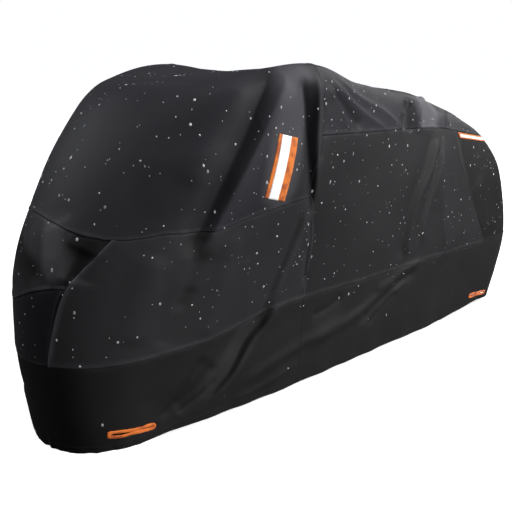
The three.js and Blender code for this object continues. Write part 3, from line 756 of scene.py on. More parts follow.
def wallRise(points, normals, drop, rise, halfStart, halfEnd, below, above, shade, corners):
    reach = halfStart + shaping["foldReach"] * max(below, above)
    near, away, along = alongPath(points, normals, corners, reach)
    half = halfStart + (halfEnd - halfStart) * along
    steep = (rise + drop) * (away + half) / (2 * half) - drop
    shape = np.where(away > half, rise * np.exp(-((away - half) / above) ** 2),
                     np.where(away < -half, -drop * np.exp(-((away + half) / below) ** 2), steep))
    risen = shape * half / halfStart * fadeOut(away, along, reach, shaping["wallTaper"])
    ends = smoothStep(np.minimum(along, 1 - along), 0, shaping["darkTaper"])
    first, last = (share * half + more for share, more in (shaping["darkFrom"], shaping["darkTo"]))
    # painted shade over the wall, darkest along its middle
    dark = shade * ends * (1 - smoothStep(np.abs(away), first, last))
    return np.stack([spread(points, near, risen), spread(points, near, dark)])


# painted shade or highlight that fades out beside a path
def paintedPatchShare(points, normals, share, half, soft, corners):
    near, away, along = alongPath(points, normals, corners, half + soft)
    return spread(points, near, share * (1 - smoothStep(np.abs(away), half, half + soft)))


noiseCells = 24
noiseOffset = 500


def softNoise(points, size, seed):
    # smooth random values from -1 to 1 that change over about this size
    table = np.random.default_rng(seed).random((noiseCells,) * 3) * 2 - 1
    place = points / size + noiseOffset
    cell = np.floor(place).astype(int)
    share = place - cell
    share = share ** 3 * (share * (share * 6 - 15) + 10)
    total = np.zeros(points.shape[:-1])
    for corner in itertools.product((0, 1), repeat=3):
        index = (cell + corner) % noiseCells
        weight = np.prod(np.where(np.array(corner) == 1, share, 1 - share), axis=-1)
        total += weight * table[index[..., 0], index[..., 1], index[..., 2]]
    return total


unevenness = {
    # depth, size and seed of the small folds all over
    "waves": {"broad": (3.4, 250, 11), "middle": (1.8, 100, 12), "small": (0.6, 38, 13)},
    "waveShrink": (1.0, 1.0, 0.55),  # they run longer down than along
    "tautAbove": (650, 900),
    "tautShare": 0.45,
    "gatherDepth": 2.2,
    "gatherPitch": 190.0,
    "gatherUneven": 97.0,
    "gatherReach": 150.0,
    "hemDepth": 3.2,
    "hemReach": 46.0,
    "hemSideShare": 0.22,
    "hemNose": (980, 1180),
    "hemTail": (1080, 1250),
    # share, shrink of the height, size and seed
    "hemGathers": ((1.0, 0.15, 17, 21), (0.7, 0.2, 34, 22)),
    "sharpCounts": 1.3,  # of a crease, in the relief that paints shade into the cloth's hollows and a highlight onto its crests
}


def raiseFolds(points):
    normals = ringNormals(points)
    soft = sum(foldRise(points, normals, *values, False) for values in folds.values())
    low = np.clip(1 - points[..., 2] / unevenness["gatherReach"], 0, 1)
    uneven = np.sin(points[..., 0] / unevenness["gatherUneven"])
    wave = np.sin(2 * math.pi * points[..., 0] / unevenness["gatherPitch"] + uneven)
    folded = points + normals * (soft + unevenness["gatherDepth"] * low * wave)[..., None]
    normals = ringNormals(folded)
    rises = sum(foldRise(points, normals, *values, True) for values in creases.values())
    steep, dark = sum(wallRise(points, normals, *values) for values in walls.values())
    rises = rises + steep
    relief = soft + unevenness["sharpCounts"] * rises
    loose = 1 - (1 - unevenness["tautShare"]) * smoothStep(folded[..., 2], *unevenness["tautAbove"])
    for depth, size, seed in unevenness["waves"].values():
        rises = rises + depth * loose * softNoise(folded * unevenness["waveShrink"], size, seed)
    # the elastic gathers the hem at the nose and the tail, and hardly along the sides
    closeToHem = np.exp(-(points[..., 2] / unevenness["hemReach"]) ** 2)
    nose = smoothStep(points[..., 0], *unevenness["hemNose"])
    tail = smoothStep(-points[..., 0], *unevenness["hemTail"])
    gathers = sum(part * softNoise(folded * (1, 1, tall), size, seed)
                  for part, tall, size, seed in unevenness["hemGathers"])
    share = unevenness["hemSideShare"] + (1 - unevenness["hemSideShare"]) * np.maximum(nose, tail)
    rises = rises + unevenness["hemDepth"] * closeToHem * share * gathers
    return np.concatenate([folded + normals * rises[..., None], relief[..., None], dark[..., None]], -1)


# The sewn seams don't follow the level lines: how far each slides along the cloth, in mm, by the
# column counted from the nose, or by the height

slides = {
    "bib": {"reach": (185, 235), "at": [
        (-190, 0), (-170, 25), (-60, 55), (-22, 9), (0, 10), (20, 31), (44, 68), (64, 91), (76, 84),
        (88, 61), (104, 64), (124, 43), (148, 32), (170, 25), (205, 0)]},
    "noseJoin": {"reach": (80, 150), "at": [
        (-92, 0), (-62, 22), (-24, 26), (0, 0), (24, -26), (48, -44), (64, -46), (96, 0)]},
    "noseSeam": {"reach": (150, 150), "at": [
        (0, 0), (200, 0), (330, -17), (408, -9), (472, -2), (554, 8), (609, 26), (656, 35), (703, 31),
        (778, 22), (960, 0), (1200, 0)]},
    "sideSeam": {"reach": (110, 110), "at": [
        (0, 0), (368, 0), (450, 6), (610, 18), (740, 20), (800, 8), (975, 0), (1200, 0)]},
}


def slideLine(line, fixed, amount, reach):
    walked = walkedAlong(line[:, :3])
    away = walked - walked[fixed]
    share = np.clip(np.abs(away) / np.where(away < 0, reach[0], reach[1]), 0, 1)
    return pointsAt(walked + amount * (1 - share ** 2) ** 2, walked, line)


def slideRows(points, name):
    at, amounts = zip(*slides[name]["at"])
    for column in range(ringColumns):
        amount = np.interp(column - halfColumns, at, amounts)
        if amount:
            points[:, column] = slideLine(points[:, column], levelRow[name], amount, slides[name]["reach"])


def slideColumns(points, name, seamColumn):
    heightsAt, amounts = zip(*slides[name]["at"])
    for row in range(1, len(points)):
        for side in (1, -1):
            columns = (halfColumns + side * np.arange(halfColumns)) % ringColumns
            line = points[row, columns]
            amount = np.interp(line[seamColumn, 2], heightsAt, amounts)
            if amount:
                points[row, columns] = slideLine(line, seamColumn, amount, slides[name]["reach"])


surface = raiseFolds(surface)
slideRows(surface, "bib")
slideRows(surface, "noseJoin")
slideColumns(surface, "noseSeam", int(seamColumns[1]))
slideColumns(surface, "sideSeam", int(seamColumns[2]))
relief, dark = surface[..., 3], surface[..., 4]  # relief is above nought on a ridge, below it in a hollow; dark is the walls' painted shade
surface = surface[..., :3].copy()
surfaceNormals = ringNormals(surface)
print("stage: folds raised")


# Panels: a lapped seam lies over its neighbour or under it along each border

seam = {
    "lapLift": 1.5,
    "underDip": 0.9,
    "lapEdge": (7.5, 14.0),
    "dipEdge": (2, 8),
    "puckerDepth": 0.9,
    "puckerPitch": 24.0,
    "puckerReach": 26.0,
    "wearAndHighlightReach": 9.0,
    "wearAndHighlightShare": (0.32, 0.3),
    "wearAndHighlightPitch": 60.0,
    "seeds": (31, 32),  # of the pucker, of the wear and painted highlight
    # these laps stand higher, and a painted highlight runs along their edge
    "proud": {"front_side_left": "start", "front_side_right": "finish"},
    "proudTimes": 2.6,
    "proudReach": 5.0,
    "paintedPatchMost": 0.6,  # overlapping patches of painted shade don't add up beyond this
}
noseSeam, sideSeam, tailSeam = (int(column) for column in seamColumns[1:4])
front, back = (-sideSeam, sideSeam), (sideSeam, ringColumns - sideSeam)
nose, tail = (-noseSeam, noseSeam), (tailSeam, ringColumns - tailSeam)
panels = {
    # top row, bottom row, columns counted from the nose, material, borders that lap over, and under
    "hood": ("ridge", "bib", front, "cloth_hood", "bottom start finish", ""),
    "rear_top": ("ridge", "rail", back, "cloth_hood", "bottom", "start finish"),
    "nose_upper": ("bib", "noseJoin", nose, "cloth_body", "bottom", "top start finish"),
    "nose_lower": ("noseJoin", "band", nose, "cloth_nose_low", "bottom", "top start finish"),
    "front_side_left": ("bib", "band", (noseSeam, sideSeam), "cloth_front", "bottom start finish", "top"),
    "front_side_right": ("bib", "band", (-sideSeam, -noseSeam), "cloth_front", "bottom start finish", "top"),
    "rear_side_left": ("rail", "band", (sideSeam, tailSeam), "cloth_body", "bottom finish", "top start"),
    "rear_side_right": ("rail", "band", (-tailSeam, -sideSeam), "cloth_body", "bottom start", "top finish"),
    "tail_panel": ("rail", "band", tail, "cloth_tail", "bottom", "top start finish"),
    "skirt_front": ("band", "hem", front, "cloth_skirt", "", "top"),
    "skirt_rear": ("band", "hem", back, "cloth_skirt", "", "top"),
}
clothThickness = 1.6
floorGap = 0.4
hemRoll = [(1.0, -0.6), (2.8, -1.0), (4.6, 0.4), (5.4, 3.0), (5.0, 8.0)]  # inward and up from the hem's edge


def overBorder(distance, over):
    if over:
        return seam["lapLift"] * (1 - smoothStep(distance, *seam["lapEdge"]))
    return -seam["underDip"] * (1 - smoothStep(distance, *seam["dipEdge"]))


def panelGrid(name, top, bottom, span, over, under):
    rows = slice(levelRow[top], levelRow[bottom] + 1)
    columns = (halfColumns + np.arange(span[0], span[1] + 1)) % ringColumns
    points, normals, heaped, shade = (
        whole[rows][:, columns] for whole in (surface, surfaceNormals, relief, dark))
    edges = {"top": points[:1], "bottom": points[-1:], "start": points[:, :1], "finish": points[:, -1:]}
    away = {side: np.linalg.norm(points - edge, axis=-1) for side, edge in edges.items()}
    rise = sum((overBorder(away[side], False) for side in under.split()), np.zeros(shade.shape))
    proudEdgeHighlight = 0.0
    for side in over.split():
        lift = overBorder(away[side], True)
        if side == seam["proud"].get(name):
            lift = lift * seam["proudTimes"]
            proudEdgeHighlight = np.exp(-(away[side] / seam["proudReach"]) ** 2)
        rise = np.where(np.abs(lift) > np.abs(rise), lift, rise)
    nearest = np.min([away[side] for side in under.split() + over.split()], axis=0)
    puckerSeed, wearSeed = seam["seeds"]
    pucker = softNoise(points, seam["puckerPitch"], puckerSeed) * np.exp(-nearest / seam["puckerReach"])
    # partly wear, partly a painted highlight on the lap edges, and a painted highlight line along the proud
    # laps
    even, uneven = seam["wearAndHighlightShare"]
    wornAndLit = even + uneven * softNoise(points, seam["wearAndHighlightPitch"], wearSeed)
    wearAndHighlight = np.exp(-(nearest / seam["wearAndHighlightReach"]) ** 2) * wornAndLit + proudEdgeHighlight
    paintedPatch = sum(paintedPatchShare(points, normals, *values) for panel, *values in paintedPatches.values() if panel == name)
    # painted shading: the walls' painted shade, plus the painted patches of shade and highlight
    damp = shade + np.minimum(paintedPatch, seam["paintedPatchMost"])
    marks = {"seam_wear_and_highlight": np.clip(wearAndHighlight, 0, 1), "relief": heaped, "damp": damp}
    return points + normals * (rise + seam["puckerDepth"] * pucker)[..., None], marks


def addHemRoll(points, marks):
    inward = points[-1] - points[-1].mean(0)
    inward[:, 2] = 0
    along = np.gradient(points[-1], axis=0)
    flat = unit(np.stack([along[:, 1], -along[:, 0], np.zeros(len(along))], -1))
    flat *= -np.sign(np.einsum("ij,ij->i", flat, inward))[:, None]
    rolled = [points[-1] + flat * inwards + np.array((0, 0, up)) for inwards, up in hemRoll]
    longer = {name: np.concatenate([mark] + [mark[-1:]] * len(hemRoll)) for name, mark in marks.items()}
    return np.concatenate([points, np.array(rolled)]), longer


def toPart(points):
    return (points + coverPlace) * mm


def smooth(made):
    made.polygons.foreach_set("use_smooth", [True] * len(made.polygons))


def newMesh(name, points, edges, faces, flat=None):
    # flat has the place of every corner of every face on the uncut cloth, in mm
    made = bpy.data.meshes.new(name)
    made.from_pydata(toPart(np.array(points)).tolist(), edges, faces)
    if flat is not None:
        made.uv_layers.new(name="cloth_uv").data.foreach_set("uv", (np.array(flat) * mm).ravel())
        smooth(made)
    return made


def setMark(made, name, values):
    kind, field = ("FLOAT", "value") if values.ndim == 1 else ("FLOAT_VECTOR", "vector")
    made.attributes.new(name, kind, "POINT").data.foreach_set(field, values.ravel())


def meshFromGrid(name, points, marks, ridge=False):
    high, wide = points.shape[:2]
    ids = np.arange(high * wide).reshape(high, wide)
    vertexOf = ids.copy()
    if ridge:  # the ridge row runs there and back over the same points
        back = np.arange(wide) > (wide - 1) // 2
        vertexOf[0, back] = ids[0, ::-1][back]
    a, b, c, d = (part.ravel() for part in (ids[:-1, :-1], ids[:-1, 1:], ids[1:, 1:], ids[1:, :-1]))
    cells = np.stack([a, d, c, b], -1)
    kept, used = np.unique(vertexOf.ravel()[cells], return_inverse=True)
    across, down = np.zeros((high, wide)), np.zeros((high, wide))
    across[:, 1:] = np.linalg.norm(np.diff(points, axis=1), axis=-1).cumsum(1)
    down[1:] = np.linalg.norm(np.diff(points, axis=0), axis=-1).cumsum(0)
    flat = np.stack([across.ravel(), down.ravel()], -1)
    faces, corners = [], []
    for cell, vertices in zip(cells.tolist(), used.reshape(cells.shape).tolist()):
        once = {}
        for corner, vertex in zip(cell, vertices):
            once.setdefault(vertex, corner)
        faces.append(tuple(once))
        corners += once.values()
    made = newMesh(name, points.reshape(-1, 3)[kept], [], faces, flat[corners])
    for mark, values in marks.items():
        setMark(made, mark, values.ravel()[kept])
    return made


def bakeModifiers(thing):
    bpy.context.view_layer.update()
    whole = thing.evaluated_get(bpy.context.evaluated_depsgraph_get())
    made = bpy.data.meshes.new_from_object(whole, preserve_all_data_layers=True,
                                           depsgraph=bpy.context.evaluated_depsgraph_get())
    old = thing.data
    thing.modifiers.clear()
    thing.data = made
    bpy.data.meshes.remove(old)
    made.name = thing.name
    return thing


def thicken(thing, thickness):
    shell = thing.modifiers.new("thickness", "SOLIDIFY")
    shell.thickness = thickness * mm
    shell.offset = -1
    shell.use_even_offset = False
    shell.use_rim = True
    return bakeModifiers(thing)


def paint(thing, material):
    thing.data.materials.clear()
    thing.data.materials.append(material)
    return thing


def buildPanel(name):
    top, bottom, span, tint, over, under = panels[name]
    points, marks = panelGrid(name, top, bottom, span, over, under)
    if bottom == "hem":
        points, marks = addHemRoll(points, marks)
        points[..., 2] = np.maximum(points[..., 2], floorGap - coverPlace[2])
    thing = linkNew("cover_" + name, meshFromGrid("cover_" + name, points, marks, top == "ridge"))
    return paint(thicken(thing, clothThickness), clothMaterials[tint])


panelPieces = {name: buildPanel(name) for name in panels}
print("stage: panels,", sum(len(piece.data.polygons) for piece in panelPieces.values()), "faces")


# What the sewn-on pieces and the drops lie on: the outer skin of the whole cover

def skinTree():
    rows, columns = surface.shape[:2]
    ids = np.arange(rows * columns).reshape(rows, columns)
    after = np.roll(ids, -1, axis=1)
    cells = np.stack([ids[:-1], ids[1:], after[1:], after[:-1]], -1).reshape(-1, 4)
    return BVHTree.FromPolygons(surface.reshape(-1, 3).tolist(), cells.tolist()), cells


skin, skinCells = skinTree()
castReach = 400


def ontoSkin(start, direction):
    hit, normal = skin.ray_cast(Vector(start), Vector(direction), castReach)[:2]
    if hit is None:
        hit, normal = skin.find_nearest(Vector(start))[:2]
    out = np.array(normal)
    return np.array(hit), -out if out @ np.array(direction) > 0 else out


# Lock holes: slack slits near the hem, each bound with an orange tape

lockHoles = {
    "bindingOuter": 6.6,
    "bindingInner": 5.0,
    "bindingThickness": 5.0,
    "bindingWidth": 11.5,
    "bindingLift": 0.9,
    "smoothings": 3,  # of the cloth's normals along the binding
    "curveSteps": 12,
    "spacing": 2.5,  # of the rings along the binding
    "sides": 14,
    "sideWidth": 2.2,
    "castFrom": 80,
    "cutReach": 60,
    "cornerWide": 0.75,
    "cornerTall": 0.85,
    # size of the short and the long ruffles, and how much they change each measure
    "ruffleSizes": (9, 26),
    "seed": 41,
    "ruffles": {"lift": 0.7, "inner": 0.35, "outer": (0.9, 0.5), "high": 0.22},
    "cutGap": 0.6,
    "leastHalf": 1.5,
    # along the hem towards the tail, height of the middle, half height
    "sections": [(-88, 8, 9), (-80, 8, 12.5), (-45, 4, 14), (0, 0, 10.5), (38, -3, 12), (66, -6, 12.5),
                 (82, -7, 9)],
    # x, side, height
    "places": {
        "lock_hole_front_left": (1072, 1, 58),
        "lock_hole_front_right": (1072, -1, 58),
        "lock_hole_rear_left": (-1015, 1, 68),
        "lock_hole_rear_right": (-1015, -1, 68),
    },
}


def lockFrame(x, side, z):
    turn = turnAt("hem", x)
    here, ahead = outlinePoints("hem", np.array([turn, turn - 0.01]))
    along = ahead - here
    tailward = -unit(np.array((along[0], along[1] * side, 0)))
    up = np.array((0.0, 0.0, 1.0))
    return np.array((here[0], here[1] * side, z)), tailward, up, np.cross(tailward, up) * side


def slitOutline(grow):
    sections = lockHoles["sections"]
    last = len(sections) - 1
    edge = [(along + (-grow if i == 0 else 0) + (grow if i == last else 0), middle,
             max(half + grow, lockHoles["leastHalf"])) for i, (along, middle, half) in enumerate(sections)]
    return [(u, v - half) for u, v, half in edge] + [(u, v + half) for u, v, half in edge[::-1]]


def cutLockHole(piece, name):
    origin, tailward, up, out = lockFrame(*lockHoles["places"][name])
    outline = slitOutline(lockHoles["cutGap"])
    count = len(outline)
    reach = lockHoles["cutReach"]
    rings = [[origin + tailward * u + up * v + out * depth for u, v in outline] for depth in (-reach, reach)]
    faces = [(i, (i + 1) % count, count + (i + 1) % count, count + i) for i in range(count)]
    faces += [tuple(range(count))[::-1], tuple(range(count, 2 * count))]
    cutter = linkNew("lock_cutter", newMesh("lock_cutter", rings[0] + rings[1], [], faces))
    cut = piece.modifiers.new("slit", "BOOLEAN")
    cut.operation = "DIFFERENCE"
    cut.solver = "EXACT"
    cut.object = cutter
    bakeModifiers(piece)
    bpy.data.objects.remove(cutter)


def closedCurve(points, spacing):
    points = np.array(points, float)
    steps = lockHoles["curveSteps"]
    ring = [between(*(points[(k + step) % len(points)] for step in (-1, 0, 1, 2)), t)
            for k in range(len(points)) for t in np.arange(steps) / steps]
    ring = np.array(ring + ring[:1])
    walked = walkedAlong(ring)
    count = int(walked[-1] / spacing)
    return pointsAt(np.arange(count) * walked[-1] / count, walked, ring)


def sweptRing(name, places, normals, sections):
    # a closed band: the sections hold how far each of its corners is across and out, place by place
    tangents = unit(np.roll(places, -1, axis=0) - np.roll(places, 1, axis=0))
    across = unit(np.cross(tangents, normals))
    out = np.cross(across, tangents)
    points = places[:, None] + sections[..., :1] * across[:, None] + sections[..., 1:] * out[:, None]
    high, wide = points.shape[:2]
    ids = np.arange(high * wide).reshape(high, wide)
    ahead, beside = np.roll(ids, -1, axis=0), np.roll(ids, -1, axis=1)
    faces = np.stack([ids, beside, np.roll(ahead, -1, axis=1), ahead], -1).reshape(-1, 4)
    flat = np.zeros((high, wide, 2))
    flat[..., 0] = walkedAlong(places)[:, None]
    flat[..., 1] = np.arange(wide) * lockHoles["sideWidth"]
    corners = flat.reshape(-1, 2)[faces.ravel()]
    return linkNew(name, newMesh(name, points.reshape(-1, 3), [], faces.tolist(), corners))


def blunted(values, power):
    return np.sign(values) * np.abs(values) ** power


def buildBinding(name, seed):
    origin, tailward, up, out = lockFrame(*lockHoles["places"][name])
    middle = closedCurve(slitOutline(-lockHoles["bindingWidth"] / 2), lockHoles["spacing"])
    outside = origin + out * lockHoles["castFrom"]
    found = [ontoSkin(outside + tailward * u + up * v, -out) for u, v in middle]
    places, normals = (np.array(values) for values in zip(*found))
    for _ in range(lockHoles["smoothings"]):
        normals = unit(normals + np.roll(normals, 1, axis=0) + np.roll(normals, -1, axis=0))
    short, long = (softNoise(places, size, seed + k)[:, None]
                   for k, size in enumerate(lockHoles["ruffleSizes"]))
    ruffles = lockHoles["ruffles"]
    places = places + normals * (lockHoles["bindingLift"] + ruffles["lift"] * long)
    inward = np.cross(places[1] - places[-1], normals[0])
    inwardSide = 1 if inward @ (places.mean(0) - places[0]) > 0 else -1
    inner = lockHoles["bindingInner"] + ruffles["inner"] * short
    outer = lockHoles["bindingOuter"] + ruffles["outer"][0] * short + ruffles["outer"][1] * long
    high = lockHoles["bindingThickness"] / 2 * (1 + ruffles["high"] * short)
    angles = 2 * math.pi * np.arange(lockHoles["sides"]) / lockHoles["sides"]
    wide = blunted(np.cos(angles), lockHoles["cornerWide"])
    tall = blunted(np.sin(angles), lockHoles["cornerTall"])
    sections = np.stack([wide * np.where(wide * inwardSide > 0, inner, outer), tall * high], -1)
    return paint(sweptRing("cover_" + name, places, normals, sections), bindingMaterial)


bindingPieces = {}
for seed, name in enumerate(lockHoles["places"]):
    cutLockHole(panelPieces["skirt_front" if "front" in name else "skirt_rear"], name)
    bindingPieces[name] = buildBinding(name, lockHoles["seed"] + 2 * seed)
print("stage: lock holes")


# Reflective strips: an orange backing with a white tape along it, sewn on and slightly wavy

strips = {
    # x and z of the fore and aft corners at the top, then of the aft and fore ones below
    "corners": [(623, 1008), (534, 988), (560, 778), (652, 802)],
    "rows": 44,
    "backing": (1.7, 1.0),  # lift of the outer face, thickness
    "tape": (2.9, 0.8),
    "columns": {"backing": 22, "tape": 12},
    "shares": {"backing": (0, 1), "tape": (0.17, 0.64)},  # of the width between the corners
    "castFrom": 600,
    "rearInset": {"backing": (5.0, 5.0), "tape": (15.0, 10.5)},  # from the top and the ends, from below
    "rearShare": 0.25,  # of the way from the rail to the next level
    "rearRows": 10,
    "rearGap": 3,  # columns from the tail seam
    "waves": ((0.55, 26), (0.25, 11)),  # depth, size
    "edgeDrop": (0.9, 0.25),
    "seed": 61,
}
stripMaterials = {"backing": backingMaterial, "tape": whiteTape}


def stripMesh(place, layer, points, normals):
    name = f"cover_strip_{place}_{layer}"
    lift, thickness = strips[layer]
    waves = sum(depth * softNoise(points, size, strips["seed"] + k)
                for k, (depth, size) in enumerate(strips["waves"]))
    high, wide = points.shape[:2]
    edge = np.minimum.outer(np.minimum(np.arange(high), np.arange(high)[::-1]),
                            np.minimum(np.arange(wide), np.arange(wide)[::-1]))
    drop = np.array((*strips["edgeDrop"], 0.0))[np.minimum(edge, 2)]
    made = meshFromGrid(name, points + normals * (lift + waves - drop)[..., None], {})
    outward = np.array(made.polygons[len(made.polygons) // 2].normal)
    if outward @ normals[high // 2, wide // 2] < 0:
        made.flip_normals()
    return paint(thicken(linkNew(name, made), thickness), stripMaterials[layer])


def frontStrip(place, layer):
    side = 1 if place == "left" else -1
    topFore, topAft, lowAft, lowFore = (np.array(corner, float) for corner in strips["corners"])
    (first, last), rows, columns = strips["shares"][layer], strips["rows"], strips["columns"][layer]
    points, normals = np.zeros((2, rows + 1, columns + 1, 3))
    for i in range(rows + 1):
        for j in range(columns + 1):
            across = first + (last - first) * j / columns
            top, low = topFore + (topAft - topFore) * across, lowFore + (lowAft - lowFore) * across
            x, z = top + (low - top) * i / rows
            points[i, j], normals[i, j] = ontoSkin((x, strips["castFrom"] * side, z), (0, -side, 0))
    return stripMesh(place, layer, points, normals)


def rearStripLine(inset, insetBelow):
    first = levelRow["rail"]
    shares = np.array(sharesWithSeams(grid["rows"]["rail"], grid["rowLengths"]["rail"], True, True))
    last = first + int(np.searchsorted(shares, strips["rearShare"]))
    start = tailSeam + strips["rearGap"]
    columns = (halfColumns + np.arange(start, ringColumns - start + 1)) % ringColumns
    points, normals = surface[first:last + 1][:, columns], surfaceNormals[first:last + 1][:, columns]
    lines = []
    for k in range(points.shape[1]):
        walked = walkedAlong(points[:, k])
        at = np.linspace(inset, walked[-1] - insetBelow, strips["rearRows"])
        lines.append([pointsAt(at, walked, points[:, k]), pointsAt(at, walked, normals[:, k])])
    points, normals = np.array(lines).transpose(1, 2, 0, 3)
    along = walkedAlong(points[0])
    inside = (along > inset) & (along < along[-1] - inset)
    return points[:, inside], normals[:, inside]


stripPieces = {}
for place in ("left", "right"):
    for layer in ("backing", "tape"):
        stripPieces[f"strip_{place}_{layer}"] = frontStrip(place, layer)
for layer, insets in strips["rearInset"].items():
    stripPieces["strip_rear_" + layer] = stripMesh("rear", layer, *rearStripLine(*insets))
print("stage: strips")


# Geometry Nodes: stitches along lines, and drops over the skin

def newNodeGroup(name, sizes):
    tree = bpy.data.node_groups.new(name, "GeometryNodeTree")
    tree.interface.new_socket("Geometry", in_out="INPUT", socket_type="NodeSocketGeometry")
    tree.interface.new_socket("Geometry", in_out="OUTPUT", socket_type="NodeSocketGeometry")
    for size in sizes:
        kind = {"Seed": "Int", "Material": "Material"}.get(size, "Float")
        tree.interface.new_socket(size, in_out="INPUT", socket_type="NodeSocket" + kind)
    graph = Graph(tree)
    return tree, graph, graph.add("NodeGroupInput")


def randomBetween(graph, low, high, seed):
    sockets = {2: low, 3: high, "Seed": seed}
    return graph.add("FunctionNodeRandomValue", {"data_type": "FLOAT"}, sockets, out=1)


def turnedTo(graph, axis, vector, pivot="AUTO", before=None):
    sockets = {"Vector": vector} if before is None else {"Vector": vector, "Rotation": before}
    return graph.add("FunctionNodeAlignRotationToVector", {"axis": axis, "pivot_axis": pivot}, sockets)


def placeBeads(graph, start, points, turned, size, segments, rings, radius):
    bead = graph.add("GeometryNodeMeshUVSphere", None, {
        "Segments": segments, "Rings": rings, "Radius": radius})
    placed = graph.add("GeometryNodeInstanceOnPoints", None,
                       {"Points": points, "Instance": bead, "Rotation": turned, "Scale": size})
    whole = graph.add("GeometryNodeRealizeInstances", None, {"Geometry": placed})
    done = graph.add("GeometryNodeSetMaterial", None, {"Geometry": whole, "Material": start.also("Material")})
    graph.add("NodeGroupOutput", None, {"Geometry": done})


def runNodes(thing, tree, values):
    nodes = thing.modifiers.new(tree.name, "NODES")
    nodes.node_group = tree
    for item in tree.interface.items_tree:
        if item.item_type == "SOCKET" and item.in_out == "INPUT" and item.name in values:
            nodes[item.identifier] = values[item.name]
    bakeModifiers(thing)
    smooth(thing.data)
    return thing


stitches = {
    "sizes": {"Pitch": 8.0, "Length": 5.2, "Width": 1.1, "Height": 0.9},
    "uneven": (0.85, 1.12),  # of the length
    "bead": (6, 4, 0.5),  # segments, rings, radius before the sizes are applied
    "inset": 5.0,
    "aside": 4,  # rows or columns to the point that the inset goes towards
    "lift": 0.25,
    "hemInset": 24,
    "hemLift": 0.3,
    "seed": 5,
}


def stitchTree():
    tree, graph, start = newNodeGroup("stitches_along_lines", (*stitches["sizes"], "Seed", "Material"))
    line = graph.add("GeometryNodeMeshToCurve", None, {"Mesh": start.also("Geometry")})
    spaced = graph.add("GeometryNodeResampleCurve", {"mode": "LENGTH"},
                       {"Curve": line, "Length": start.also("Pitch")})
    outward = graph.add("GeometryNodeInputNamedAttribute", {"data_type": "FLOAT_VECTOR"}, {"Name": "outward"})
    turned = turnedTo(graph, "X", graph.add("GeometryNodeInputTangent"))
    turned = turnedTo(graph, "Z", outward, "X", turned)
    wobble = randomBetween(graph, *stitches["uneven"], start.also("Seed"))
    size = graph.add("ShaderNodeCombineXYZ", None, {
        0: start.also("Length") * wobble, 1: start.also("Width"), 2: start.also("Height")})
    placeBeads(graph, start, spaced, turned, size, *stitches["bead"])
    return tree


def stitchLines(name, lines, colour):
    points, normals = (np.concatenate(parts) for parts in zip(*lines))
    starts = set(np.cumsum([len(places) for places, _ in lines]).tolist())
    made = newMesh(name, points, [(i, i + 1) for i in range(len(points) - 1) if i + 1 not in starts], [])
    setMark(made, "outward", normals)
    sizes = {size: value * mm for size, value in stitches["sizes"].items()}
    return runNodes(linkNew(name, made), stitchTree(),
                    {**sizes, "Seed": stitches["seed"], "Material": colour})


def insetLine(rows, columns, down, across, inset, lift):
    # a line beside a seam's row or column, the inset away on the side that the steps point to
    columns = (halfColumns + columns) % ringColumns
    here = surface[rows, columns]
    aside = stitches["aside"]
    way = unit(surface[rows + aside * down, (columns + aside * across) % ringColumns] - here)
    normals = surfaceNormals[rows, columns]
    return here + way * inset + normals * lift, normals


def seamLines():
    lift = seam["lapLift"] + stitches["lift"]
    rail, bib, band, join, hem = (levelRow[name] for name in ("rail", "bib", "band", "noseJoin", "hem"))
    inset = stitches["inset"]
    lines = []
    for row, (first, last) in ((bib, front), (join, nose), (rail, back), (band, front), (band, back)):
        lines.append(insetLine(row, np.arange(first, last + 1), -1, 0, inset, lift))
    around = np.arange(-halfColumns, halfColumns + 1)
    lines.append(insetLine(hem, around, -1, 0, stitches["hemInset"], stitches["hemLift"]))
    for side in (1, -1):
        for column, step, first, last in ((noseSeam, 1, bib, band), (sideSeam, -1, 0, bib),
                                          (sideSeam, -1, bib, band), (tailSeam, -1, rail, band)):
            rows = np.arange(first, last + 1)
            lines.append(insetLine(rows, np.full(len(rows), side * column), 0, side * step, inset, lift))
    return lines


seamStitches = stitchLines("seam_stitches", seamLines(), thread)
print("stage: stitches,", len(seamStitches.data.polygons), "faces")


drops = {
    "sizes": {"Density": 390.0, "Smallest": 1.3 * mm, "Largest": 4.5 * mm, "Flatness": 0.42},
    "rareness": 3.0,  # a high power makes large drops rare
    "stretch": (0.9, 1.7),
    "bead": (10, 6, 1.0),
    "seed": 17,
    "bedLift": 0.4,
    # heights in mm between which the cloth gets wetter, and drier at the top
    "wetter": (260, 420),
    "drier": (1140, 1170),
    "drierBy": 0.6,
    "lowShare": 0.8,
    "hoodFrom": 780,
    "nearHem": (90, 140),
    "patches": (0.75, 0.5, 140, 71),  # least, more, size, seed
    "least": 0.03,
}


def dropTree():
    tree, graph, start = newNodeGroup("drops_over_cloth", (*drops["sizes"], "Seed", "Material"))
    seed = start.also("Seed")
    wet = graph.add("GeometryNodeInputNamedAttribute", {"data_type": "FLOAT"}, {"Name": "wet"})
    points = graph.add("GeometryNodeDistributePointsOnFaces", {"distribute_method": "RANDOM"}, {
        "Mesh": start.also("Geometry"), "Density": start.also("Density") * wet, "Seed": seed})
    chance = randomBetween(graph, 0.0, 1.0, seed + 3)
    longer = randomBetween(graph, *drops["stretch"], seed + 7)
    smallest, largest = start.also("Smallest"), start.also("Largest")
    radius = smallest + (largest - smallest) * chance ** drops["rareness"]
    turned = turnedTo(graph, "Z", points.also("Normal"))
    turned = turnedTo(graph, "Y", (0.0, 0.0, 1.0), "Z", turned)
    size = graph.add("ShaderNodeCombineXYZ", None, {
        0: radius, 1: radius * longer, 2: radius * start.also("Flatness")})
    placeBeads(graph, start, points, turned, size, *drops["bead"])
    return tree


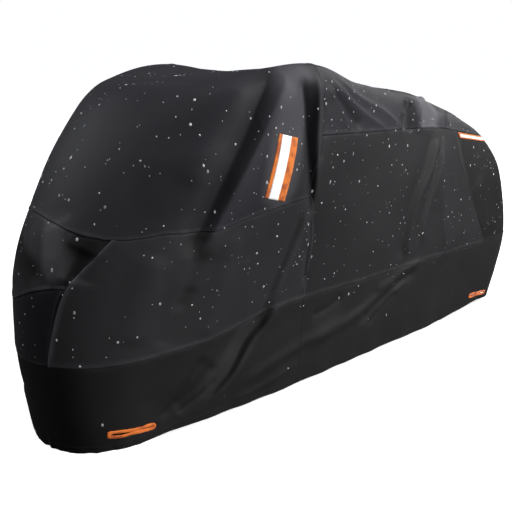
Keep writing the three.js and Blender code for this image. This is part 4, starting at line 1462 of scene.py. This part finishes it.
def buildDrops():
    places = (surface + surfaceNormals * drops["bedLift"]).reshape(-1, 3)
    made = newMesh("water_drops", places, [], skinCells.tolist())
    height = surface[..., 2].ravel()
    least, more, size, seed = drops["patches"]
    patches = least + more * softNoise(surface, size, seed).ravel()
    wet = smoothStep(height, *drops["wetter"]) * np.where(height > drops["hoodFrom"], 1.0, drops["lowShare"])
    wet *= patches * (1 - drops["drierBy"] * smoothStep(height, *drops["drier"]))  # they run off the top
    wet = np.clip(wet * smoothStep(height, *drops["nearHem"]) + drops["least"], 0, 2)
    setMark(made, "wet", wet)
    return runNodes(linkNew("water_drops", made), dropTree(),
                    {**drops["sizes"], "Seed": drops["seed"], "Material": water})


waterDrops = buildDrops()
print("stage: drops,", len(waterDrops.data.polygons), "faces")


# Every piece rides on the cover. Panels, bindings and strips stand for their solids, and each cloth piece's
# flat cut is looked up.

flatCuts = {
    # width, length and area of the cut in metres, what it hangs from; left and right are cut the same
    "hood": (1.58, 1.00, 1.20, ()),
    "rear_top": (1.16, 1.76, 1.32, ()),
    "nose_upper": (0.30, 0.51, 0.112, ("hood",)),
    "nose_lower": (0.27, 0.33, 0.059, ("nose_upper",)),
    "front_side": (0.55, 1.00, 0.40, ("hood",)),
    "rear_side": (0.66, 1.40, 0.71, ("rear_top",)),
    "tail_panel": (0.68, 1.60, 0.77, ("rear_top",)),
    "skirt_front": (0.38, 2.20, 0.73, ("front_side_left", "front_side_right", "nose_lower")),
    "skirt_rear": (0.38, 3.90, 1.36, ("rear_side_left", "rear_side_right", "tail_panel")),
    "strip_backing": (0.092, 0.232, 0.0202, ("hood",)),
    "strip_tape": (0.044, 0.230, 0.0095, ("backing",)),
    "strip_rear_backing": (0.044, 0.97, 0.0390, ("tail_panel",)),
    "strip_rear_tape": (0.025, 0.95, 0.0212, ("backing",)),
}
for name, piece in {**panelPieces, **bindingPieces, **stripPieces}.items():
    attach(piece, "root")
    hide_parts(name)
for name, piece in {**panelPieces, **stripPieces}.items():
    width, length, area, above = flatCuts[name.replace("_left", "").replace("_right", "")]
    # a tape is sewn on its own backing
    held = ["cover_" + (name.replace("tape", "backing") if other == "backing" else other) for other in above]
    bindings = [binding for hole, binding in bindingPieces.items() if name == "skirt_" + hole.split("_")[2]]
for piece in (seamStitches, waterDrops):
    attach(piece, "root")

print("stage: done")
